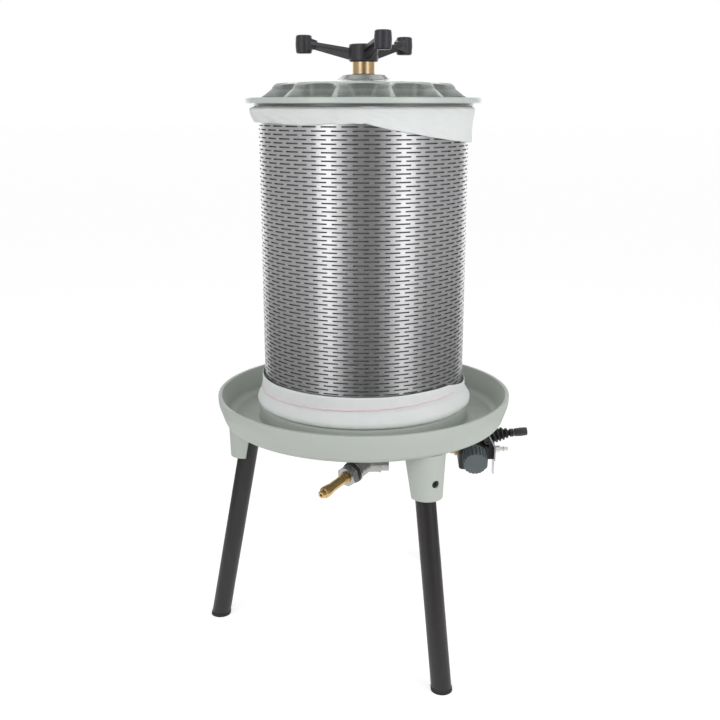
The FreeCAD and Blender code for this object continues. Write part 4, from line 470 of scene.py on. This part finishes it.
NODE_FINISHES = {
    "tray_enamel": ["tray"],
    "lid_enamel": ["lid"],
    "leg_coat": ["leg_front", "leg_rear", "leg_left"],
    "foot_rubber": ["foot_cap_front", "foot_cap_rear", "foot_cap_left"],
    "bladder_rubber": ["bladder"],
    "boot_rubber": ["lever_boot"],
    "seal_rubber": ["spindle_seal", "branch_seal", "lid_gasket"],
    "screw_black": ["leg_screws", "valve_port_plug"],
    "pale_plate": ["air_inlet"],
    "zinc_steel": ["bracket_screws", "spindle_nut", "handle_pin", "bladder_clamp_lower",
                   "bladder_clamp_upper", "thrust_washer"],
    "rolled_stainless": ["basket", "basket_hoop_lower", "basket_hoop_upper"],
    "turned_stainless": ["spindle", "juice_outlet"],
    "collar_brass": ["brass_nut", "lid_bush"],
    "nozzle_brass": ["brass_nozzle"],
    "fitting_brass": ["neck_fitting", "port_fitting"],
    "cast_nickel": ["valve_body", "valve_stub_plug", "regulator_nipple"],
    "dull_plate": ["branch_ring", "branch_nut"],
    "bright_plate": ["lever", "bracket"],
    "handle_plastic": ["handle", "lever_knob"],
    "regulator_plastic": ["regulator_body", "hand_valve"],
    "dial_plastic": ["regulator_bonnet", "regulator_hub", "regulator_knob"],
    "pipe_plastic": ["air_pipe"],
    "press_cloth": ["cloth_cuff_lower", "cloth_cuff_upper"],
    "painted_shade_cloth": ["cloth_liner"],
}


def dress_nodes():
    for finish, names in NODE_FINISHES.items():
        for name in names:
            slots = nodes[name].data.materials
            slots.clear()
            slots.append(FINISHES[finish])


def set_out(name, data):
    """Puts a mesh, curve, lamp or camera into the scene."""
    thing = bpy.data.objects.new(name, data)
    bpy.context.scene.collection.objects.link(thing)
    return thing


def new_piece(name, points, faces, finish, sharp=35.0):
    """Smooth piece whose edges stay sharp where they turn by more than a number of degrees."""
    mesh = bpy.data.meshes.new(name)
    mesh.from_pydata(points, [], faces)
    mesh.update()
    for polygon in mesh.polygons:
        polygon.use_smooth = True
    mesh.set_sharp_from_angle(angle=math.radians(sharp))
    mesh.materials.append(FINISHES[finish])
    return set_out(name, mesh)


def round_steps(count):
    """Angles of a number of even steps round a circle."""
    return [math.tau * j / count for j in range(count)]


def ring_point(azimuth, radius, height):
    """Point at an azimuth counted from the front towards the right."""
    return Vector((radius * math.sin(azimuth), -radius * math.cos(azimuth), height))


def round_ring(centre, first, second, radius, count):
    """Ring of points round a centre, turning from one direction to another square to it."""
    return [centre + (first * math.cos(a) + second * math.sin(a)) * radius for a in round_steps(count)]


def band_faces(rows, count):
    """Faces between closed rings, each of a number of points."""
    return [(k * count + j, k * count + (j + 1) % count, (k + 1) * count + (j + 1) % count,
             (k + 1) * count + j) for k in range(rows - 1) for j in range(count)]


def lofted(name, rings, finish, sharp, caps=False):
    """Skin through closed rings of points."""
    count = len(rings[0])
    faces = band_faces(len(rings), count)
    if caps:
        faces.append(tuple(reversed(range(count))))
        faces.append(tuple((len(rings) - 1) * count + j for j in range(count)))
    return new_piece(name, [point for ring in rings for point in ring], faces, finish, sharp)


def make_basket():
    """Rolled stainless sheet with fine staggered slots cut through it."""
    low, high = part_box("basket")
    columns = SLOT_PITCH_STEPS * SLOTS_ROUND
    pitch = (high.z - low.z - PLAIN_FOOT - PLAIN_TOP) / SLOT_ROWS
    levels = [low.z]
    for row in range(SLOT_ROWS):
        middle = low.z + PLAIN_FOOT + (row + 0.5) * pitch
        levels += [middle - SLOT_HEIGHT / 2, middle + SLOT_HEIGHT / 2]
    levels.append(high.z)
    top = len(levels) - 1
    points = [ring_point(azimuth, radius, z) for radius in (high.x, high.x - SHEET_THICKNESS)
              for z in levels for azimuth in round_steps(columns)]
    faces = []

    def add_face(*corners):
        """Face whose corners are given as side (0 outside, 1 inside), level and step round."""
        faces.append(tuple((side * len(levels) + k) * columns + j % columns for side, k, j in corners))

    def is_open(k, j):
        """Slots lie in every second band between levels, and each row is half a pitch from the last."""
        shift = SLOT_PITCH_STEPS // 2 if (k // 2) % 2 else 0
        return k % 2 == 1 and (j - shift) % SLOT_PITCH_STEPS < SLOT_STEPS

    for k in range(top):
        for j in range(columns):
            if not is_open(k, j):
                add_face((0, k, j), (0, k, j + 1), (0, k + 1, j + 1), (0, k + 1, j))
                add_face((1, k, j + 1), (1, k, j), (1, k + 1, j), (1, k + 1, j + 1))
                continue
            if not is_open(k, j - 1):
                add_face((0, k, j), (0, k + 1, j), (1, k + 1, j), (1, k, j))
            if not is_open(k, j + 1):
                add_face((1, k, j + 1), (1, k + 1, j + 1), (0, k + 1, j + 1), (0, k, j + 1))
            add_face((0, k, j + 1), (0, k, j), (1, k, j), (1, k, j + 1))
            add_face((0, k + 1, j), (0, k + 1, j + 1), (1, k + 1, j + 1), (1, k + 1, j))
    for j in range(columns):
        add_face((1, 0, j), (1, 0, j + 1), (0, 0, j + 1), (0, 0, j))
        add_face((0, top, j), (0, top, j + 1), (1, top, j + 1), (1, top, j))
    sheet = new_piece("slotted_basket", points, faces, "rolled_stainless")
    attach(sheet, "basket_set")
    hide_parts("basket")


def creases(azimuth, height, turns, seed):
    """Smooth uneven folds, from about -1 to 1, closer together with more turns."""
    rise, apart = 30, 7.3        # how fast they change with the height, and from seed to seed
    spot = Vector((math.sin(azimuth) * turns, math.cos(azimuth) * turns, height * rise + seed * apart))
    return noise.noise(spot) + 0.5 * noise.noise(spot * 2.1)


def along_path(stops, share):
    """Point at a share of the way along (radius, level) stops."""
    runs = [math.dist(a, b) for a, b in zip(stops, stops[1:])]
    left = share * sum(runs)
    for run, a, b in zip(runs, stops, stops[1:]):
        if left <= run or b == stops[-1]:
            t = min(1.0, left / run)
            return a[0] + (b[0] - a[0]) * t, a[1] + (b[1] - a[1]) * t
        left -= run


def cloth_skin(name, replaced, shape, steps, girth, height, finish="press_cloth"):
    """Cloth band round the basket, with cloth coordinates in metres for its weave.

    shape gives radius and level from the azimuth and from the share of the cloth's height."""
    rings = [[ring_point(azimuth, *shape(azimuth, k / steps)) for azimuth in round_steps(CLOTH_STEPS)]
             for k in range(steps + 1)]
    skin = lofted(name, rings, finish, sharp=80.0)
    layer = skin.data.uv_layers.new(name="cloth")
    for face in range(steps * CLOTH_STEPS):
        k, j = divmod(face, CLOTH_STEPS)
        for corner, (dj, dk) in enumerate(((0, 0), (1, 0), (1, 1), (0, 1))):
            layer.data[face * 4 + corner].uv = ((j + dj) * girth / CLOTH_STEPS, height * (k + dk) / steps)
    skin.modifiers.new("thickness", "SOLIDIFY").thickness = CLOTH_THICKNESS
    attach(skin, "basket_set")
    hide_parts(replaced)


def make_foot_cuff():
    """Cloth drawn out under the basket and folded up round its foot."""
    low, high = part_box("cloth_cuff_lower")
    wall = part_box("basket")[1].x
    lying = 0.004                # height up to which the cloth lies on the tray
    nearest = wall + 0.0028      # least radius above that

    def shape(azimuth, share):
        across = math.sin(azimuth)
        drop = 0.014 * max(0.0, across - 0.8) / 0.2
        top = high.z - 0.0012 + 0.0010 * across - drop + 0.0009 * creases(azimuth, 0.0, 2.6, 1)
        bulge = 0.0011 * creases(azimuth, share * 0.03, 3.2, 2)
        # out from under the basket, round the fold, and up to the wall
        stops = [(wall - 0.006, low.z + 0.0012), (wall + 0.006, low.z + 0.0010),
                 (high.x - 0.0030 + bulge, low.z + 0.0014), (high.x - 0.0010 + bulge, low.z + 0.0045),
                 (high.x - 0.0014 + bulge, low.z + 0.0090), (high.x - 0.0070 + bulge, low.z + 0.0180),
                 (wall + 0.0046 + bulge * 0.6, low.z + 0.0240),
                 (wall + 0.0044 + bulge * 0.3, top - 0.002), (wall + 0.0034, top)]
        radius, level = along_path(stops, share)
        puff = math.sin(math.pi * min(1.0, share * 1.2))
        radius += 0.0010 * creases(azimuth, share * 0.05, 7.0, 3) * puff
        return max(radius, nearest) if level > low.z + lying else radius, level

    cloth_skin("press_cloth_foot", "cloth_cuff_lower", shape, steps=40, girth=math.tau * 0.17, height=0.075)
    make_seam(shape, low.z)


def make_seam(cuff_shape, foot):
    """Line of stitching round the foot cuff, lost in a fold at the right."""
    tries = 60
    shares = [0.15 + 0.85 * n / tries for n in range(tries + 1)]
    points = []
    for degrees in range(SEAM_FROM, SEAM_TO + 1):
        azimuth = math.radians(degrees)
        wanted = foot + 0.0300 + 0.0055 * math.sin(azimuth) + 0.0008 * creases(azimuth, 0.1, 2.2, 5)
        spots = [cuff_shape(azimuth, share) for share in shares]
        radius, level = min(spots, key=lambda spot: abs(spot[1] - wanted))
        points.append(ring_point(azimuth, radius + SEAM_RADIUS / 4, level))
    curve = bpy.data.curves.new("seam_line", "CURVE")
    curve.dimensions = "3D"
    curve.bevel_depth = SEAM_RADIUS
    curve.bevel_resolution = 2
    line = curve.splines.new("POLY")
    line.points.add(len(points) - 1)
    for spot, point in zip(line.points, points):
        spot.co = (*point, 1.0)
    curve.materials.append(FINISHES["seam_thread"])
    seam = set_out("cuff_seam", curve)
    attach(seam, "basket_set")


def make_rim_cuff():
    """Cloth folded over the basket's rim, with a long flap that slants down on the right."""
    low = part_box("cloth_cuff_upper")[0]
    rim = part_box("basket")[1]
    creased_from = 0.3           # share of the cloth from which it has folds
    outside_from = 0.36          # and from which it hangs outside the basket
    nearest = rim.x + 0.0030     # least radius there

    def edge_level(azimuth):
        across = math.sin(azimuth)
        sag = 0.0050 * math.exp(-((across + 0.52) / 0.28) ** 2) - 0.0030 * max(0.0, -across - 0.8) / 0.2
        plain = rim.z - 0.0198 - sag + 0.0006 * creases(azimuth, 0.0, 2.8, 11)
        slant = rim.z - 0.0193 - 0.0335 * max(0.0, across) ** 0.74 + 0.0006 * creases(azimuth, 0.0, 2.6, 12)
        return max(low.z + 0.0002, min(plain, slant))

    def puff(azimuth):
        left = math.exp(-((math.sin(azimuth) + 1.0) / 0.45) ** 2)
        right = math.exp(-((math.sin(azimuth) - 1.0) / 0.35) ** 2)
        return 0.0015 + 0.0070 * left + 0.0022 * right

    def shape(azimuth, share):
        bottom = edge_level(azimuth)
        flare = puff(azimuth) + 0.0010 * creases(azimuth, share * 0.02, 3.5, 13)
        # up inside the basket, over its rim, and down outside it
        stops = [(rim.x - 0.0045, rim.z - 0.012), (rim.x - 0.0042, rim.z - 0.002),
                 (rim.x - 0.0026, rim.z + 0.0005), (rim.x + 0.0016 + flare * 0.5, rim.z + 0.0004),
                 (rim.x + 0.0044 + flare, rim.z - 0.0030), (rim.x + 0.0042 + flare * 0.8, rim.z - 0.0110),
                 (rim.x + 0.0040 + flare * 0.25, rim.z - 0.0220), (rim.x + 0.0038, bottom)]
        radius, level = along_path(stops, share)
        if share > creased_from:
            fold = 0.0014 * creases(azimuth, level * 1.4, 6.0, 14)
            drag = 0.0012 * noise.noise(Vector((azimuth * 9 + level * 160, level * 40, 3.0)))
            radius += fold + drag
        return max(radius, nearest) if share > outside_from else radius, level

    cloth_skin("press_cloth_rim", "cloth_cuff_upper", shape, steps=36, girth=math.tau * 0.166, height=0.052)


def make_liner():
    """Cloth that lines the basket, pressed against its wall."""
    low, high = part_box("cloth_liner")
    height = high.z - low.z
    gap = 0.0008                 # left at the foot and at the top

    def shape(azimuth, share):
        level = low.z + gap + (height - 2 * gap) * share
        return high.x - 0.0026 - 0.0012 * abs(creases(azimuth, level * 0.35, 4.0, 21)), level

    # its cloth is painted darker than the press cloth, as painted shade
    cloth_skin("press_cloth_liner", "cloth_liner", shape, steps=60, girth=math.tau * 0.16, height=height,
               finish="painted_shade_cloth")


def dome_wall(share):
    """Radius and scoop for each step round the dome's wall, from share 0 at its foot to 1 at its shoulder.

    scoop is 0 on a ridge and 1 in the middle of a pocket."""
    wall = []
    sector = LID_STEPS // POCKETS
    width = POCKET_WIDTH + POCKET_WIDENING * share
    depth = POCKET_FOOT_DEPTH - (POCKET_FOOT_DEPTH - POCKET_TOP_DEPTH) * share
    for j in range(LID_STEPS):
        off = abs((j + sector // 2) % sector - sector // 2) / (sector / 2)
        scoop = 1.0 - min(1.0, off / width) ** POCKET_FLATNESS
        wall.append((DOME_FOOT - (DOME_FOOT - DOME_SHOULDER) * share - depth * scoop, scoop))
    return wall


def crown_level(radius):
    """Height of the dome's crown, which rises towards the boss."""
    return SHOULDER_LEVEL + (DOME_SHOULDER - radius) / CROWN_RUN * CROWN_RISE


def make_lid_casting():
    """Domed lid: twelve scooped pockets between narrow ridges, boss, flange and a hollow underside."""
    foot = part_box("lid")[0].z
    rings = []

    def add_ring(profile):
        """Ring from one radius and height for each step round, in millimetres."""
        rings.append([ring_point(azimuth, radius / 1000, foot + height / 1000)
                      for azimuth, (radius, height) in zip(round_steps(LID_STEPS), profile)])

    for stop in LID_UNDERSIDE:
        add_ring([stop] * LID_STEPS)
    for outward, up in LID_FILLET:
        add_ring([(radius + outward, LID_FLANGE_TOP + up) for radius, scoop in dome_wall(0.0)])
    fillet_top = LID_FILLET[-1][1]
    rise = SHOULDER_LEVEL - LID_FLANGE_TOP - fillet_top - RIDGE_ROUNDING
    for k in range(1, DOME_ROWS + 1):
        level = LID_FLANGE_TOP + fillet_top + rise * k / DOME_ROWS
        wall = dome_wall(k / DOME_ROWS * (1 - ROUNDED_SHARE))
        add_ring([(radius, level) for radius, scoop in wall])
    shoulder = dome_wall(1.0)
    bends = [RIDGE_ROUNDING - (RIDGE_ROUNDING - POCKET_ROUNDING) * scoop for radius, scoop in shoulder]
    slope = (DOME_FOOT - DOME_SHOULDER) * ROUNDED_SHARE
    for turn in (15, 32, 50, 70, 90):
        over, up = 1 - math.cos(math.radians(turn)), math.sin(math.radians(turn))
        add_ring([(radius + slope * (1 - up) - bend * over, crown_level(radius) - bend + bend * up)
                  for (radius, scoop), bend in zip(shoulder, bends)])
    ends = [radius - bend for (radius, scoop), bend in zip(shoulder, bends)]
    for share in (0.12, 0.3, 0.55, 0.8, 0.97):
        inward = [end + (CROWN_END - end) * share for end in ends]
        add_ring([(radius, crown_level(radius)) for radius in inward])
    for stop in LID_BOSS:
        add_ring([stop] * LID_STEPS)
    casting = lofted("lid_casting", rings, "lid_enamel", sharp=38.0)
    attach(casting, "lid_set")
    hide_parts("lid")


def make_bladder():
    """Slack rubber bladder with shallow folds down its sides."""
    low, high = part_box("bladder")
    body = high.x - 0.001 - BLADDER_NECK
    steps, steps_round = 90, 144
    rings = []
    for k in range(steps + 1):
        t = k / steps
        level = low.z + (high.z - low.z) * t
        from_end = min(level - low.z, high.z - level)
        swell = min(1.0, max(0.0, (from_end - BLADDER_NECK_LENGTH) / BLADDER_ROUNDING))
        full = BLADDER_NECK + body * math.sin(swell * math.pi / 2)
        ring = []
        for azimuth in round_steps(steps_round):
            flute = 1 - math.cos(BLADDER_FLUTES * azimuth + 1.3 * math.sin(3 * t))
            slack = 0.0022 * swell * flute + 0.0012 * swell * (1 + creases(azimuth, level, 3.0, 31))
            ring.append(ring_point(azimuth, full - slack, level))
        rings.append(ring)
    skin = lofted("rubber_bladder", rings, "bladder_rubber", sharp=60.0, caps=True)
    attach(skin, "stand")
    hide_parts("bladder")


def make_nozzle():
    """Turned brass nozzle with a blunt barb, on the axis of the branch."""
    solid = nodes["brass_nozzle"]
    spots = [solid.matrix_world @ vertex.co for vertex in solid.data.vertices]
    reach = max(spot.dot(BRANCH_WAY) for spot in spots)
    end = [spot for spot in spots if reach - spot.dot(BRANCH_WAY) < 0.0001]
    tip = sum(end, Vector()) / len(end)
    side = BRANCH_WAY.orthogonal().normalized()
    rings = [round_ring(tip - BRANCH_WAY * (back / 1000), side, side.cross(BRANCH_WAY), radius / 1000, 72)
             for back, radius in NOZZLE_SHAPE]
    nozzle = lofted("turned_nozzle", rings, "nozzle_brass", sharp=38.0, caps=True)
    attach(nozzle, "stand")
    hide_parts("brass_nozzle")


def make_boot():
    """Rubber bellows from the flange to the lever's knob, each fold a rounded ridge."""
    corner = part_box("lever")[0]
    pivot = Vector((corner.x + LEVER_END, 0, corner.z + LEVER_END))
    normal = Vector((math.cos(FLANGE_TILT), 0, math.sin(FLANGE_TILT)))
    along = Vector((math.cos(LEVER_TILT), 0, math.sin(LEVER_TILT)))
    middle = pivot + normal * BOOT_START
    reach = (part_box("lever_knob")[0].x - pivot.x) / along.x - BOOT_GAP
    last = len(BOOT_RADII) - 1
    count = len(BOOT_RADII) * FOLD_STEPS - 3     # the last fold is cut short at the knob
    pitch = (reach - BOOT_START) * FOLD_STEPS / (count - 1)
    sideways = Vector((0, 1, 0))
    rings = []
    for k in range(count):
        at = k / FOLD_STEPS
        fold = min(int(at), last)
        into = at - fold
        share = min(1.0, at / last)
        facing = (normal * (1 - share) + along * share).normalized()
        if at < 1:
            centre = middle.lerp(pivot + along * FIRST_FOLD_END, at)
        else:
            centre = pivot + along * (BOOT_START + at * pitch)
        here, following = BOOT_RADII[fold], BOOT_RADII[min(fold + 1, last)]
        radius = here + (following - here) * into
        if fold < last:
            radius -= FOLD_DEPTH * math.sin(math.pi * into) ** 4
        upwards = facing.cross(sideways).normalized()
        rings.append(round_ring(centre, sideways, upwards, radius, 48))
    boot = lofted("bellows_boot", rings, "boot_rubber", sharp=70.0, caps=True)
    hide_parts("lever_boot")
    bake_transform(boot)


def seen_by_eye(tree):
    """1 for what the camera sees, straight or through gloss and glass."""
    path = add(tree, "ShaderNodeLightPath").outputs
    return math_node(tree, "MAXIMUM", path["Is Camera Ray"],
                     math_node(tree, "MAXIMUM", path["Is Glossy Ray"], path["Is Transmission Ray"]))


def stage_floor():
    """Pale floor that keeps the shadow."""
    reach = FLOOR_REACH
    mesh = bpy.data.meshes.new("floor")
    mesh.from_pydata([(-reach, -reach, 0), (reach, -reach, 0), (reach, reach, 0), (-reach, reach, 0)], [],
                     [(0, 1, 2, 3)])
    material, tree = blank_material("pale_floor")
    glow = math_node(tree, "MULTIPLY", seen_by_eye(tree), FLOOR_GLOW)
    feed(tree, tree.nodes["Principled BSDF"], {
        "Base Color": (0.80, 0.80, 0.80, 1), "Roughness": 0.9, "Specular IOR Level": 0.1,
        "Emission Color": (1, 1, 1, 1), "Emission Strength": glow})
    mesh.materials.append(material)
    set_out("floor", mesh)


def stage_walls():
    """Grey studio walls round the press, seen only in reflections."""
    points = [ring_point(azimuth, WALL_DISTANCE, z) for z in (WALL_FOOT, WALL_TOP)
              for azimuth in round_steps(WALL_STEPS)]
    mesh = bpy.data.meshes.new("studio_walls")
    mesh.from_pydata(points, [], band_faces(2, WALL_STEPS))
    material, tree = blank_material("studio_grey")
    tree.nodes.clear()
    place = add(tree, "ShaderNodeTexCoord").outputs["Object"]
    split = add(tree, "ShaderNodeSeparateXYZ", {0: place}).outputs
    frontward = math_node(tree, "MULTIPLY", split[1], -1.0)
    azimuth = math_node(tree, "ARCTAN2", split[0], frontward)
    share = math_node(tree, "MULTIPLY_ADD", azimuth, 1 / math.tau, 0.5)
    ramp = add(tree, "ShaderNodeValToRGB", {0: share})
    stops = ramp.color_ramp.elements
    for number, (degrees, grey) in enumerate(WALL_GREYS):
        position = 0.5 + degrees / 360
        stop = stops[number] if number < 2 else stops.new(position)
        stop.position = position
        stop.color = (grey, grey, grey, 1)
    rise = add(tree, "ShaderNodeMapRange", {
        "Value": split[2], "From Min": WALL_RISE[0], "From Max": WALL_RISE[1],
        "To Min": WALL_DIM * WALL_STRENGTH, "To Max": WALL_STRENGTH})
    glow = add(tree, "ShaderNodeEmission", {"Color": ramp.outputs[0], "Strength": rise.outputs[0]})
    add(tree, "ShaderNodeOutputMaterial", {0: glow.outputs[0]})
    mesh.materials.append(material)
    walls = set_out("studio_walls", mesh)
    walls.visible_camera = False
    walls.visible_diffuse = False
    walls.visible_shadow = False


def light_room():
    """Plain light that weakens towards the ceiling, and white for the eye."""
    world = bpy.data.worlds.new("pale_room")
    bpy.context.scene.world = world
    world.use_nodes = True
    tree = world.node_tree
    tree.nodes.clear()
    towards = add(tree, "ShaderNodeSeparateXYZ", {0: add(tree, "ShaderNodeTexCoord").outputs["Generated"]})
    level = add(tree, "ShaderNodeMapRange", {"Value": towards.outputs[2], "From Min": 0.05, "From Max": 0.9,
                                             "To Min": ROOM_LIGHT, "To Max": CEILING_LIGHT})
    plain = add(tree, "ShaderNodeBackground", {"Color": (1, 1, 1, 1), "Strength": level.outputs[0]})
    white = add(tree, "ShaderNodeBackground", {"Color": (1, 1, 1, 1), "Strength": 1.0})
    mixed = add(tree, "ShaderNodeMixShader", {0: seen_by_eye(tree), 1: plain.outputs[0],
                                              2: white.outputs[0]})
    add(tree, "ShaderNodeOutputWorld", {0: mixed.outputs[0]})


def add_lamp(name, place, target, side, watts):
    """Square soft lamp that lights the press and doesn't show in its gloss."""
    light = bpy.data.lights.new(name, "AREA")
    light.shape = "RECTANGLE"
    light.size = side
    light.size_y = side
    light.energy = watts
    lamp = set_out(name, light)
    lamp.location = place
    lamp.rotation_euler = (Vector(target) - Vector(place)).to_track_quat("-Z", "Y").to_euler()
    lamp.visible_glossy = False


def place_camera():
    data = bpy.data.cameras.new("camera")
    data.sensor_width = CAMERA_SENSOR
    data.lens = CAMERA_LENS
    data.shift_x = CAMERA_SHIFT
    camera = set_out("camera", data)
    camera.location = CAMERA_PLACE
    camera.rotation_euler = (math.radians(CAMERA_TILT), 0, 0)
    bpy.context.scene.camera = camera


place_camera()
dress_nodes()
make_basket()
make_liner()
make_foot_cuff()
make_rim_cuff()
make_lid_casting()
make_bladder()
make_nozzle()
make_boot()
stage_floor()
stage_walls()
light_room()
add_lamp("key_lamp", place=(-1.5, -1.7, 1.25), target=(0, 0, 0.6), side=1.4, watts=KEY_LIGHT)
add_lamp("fill_lamp", place=(1.7, -1.2, 1.0), target=(0, 0, 0.5), side=1.2, watts=FILL_LIGHT)
bpy.context.scene.view_settings.view_transform = "Standard"
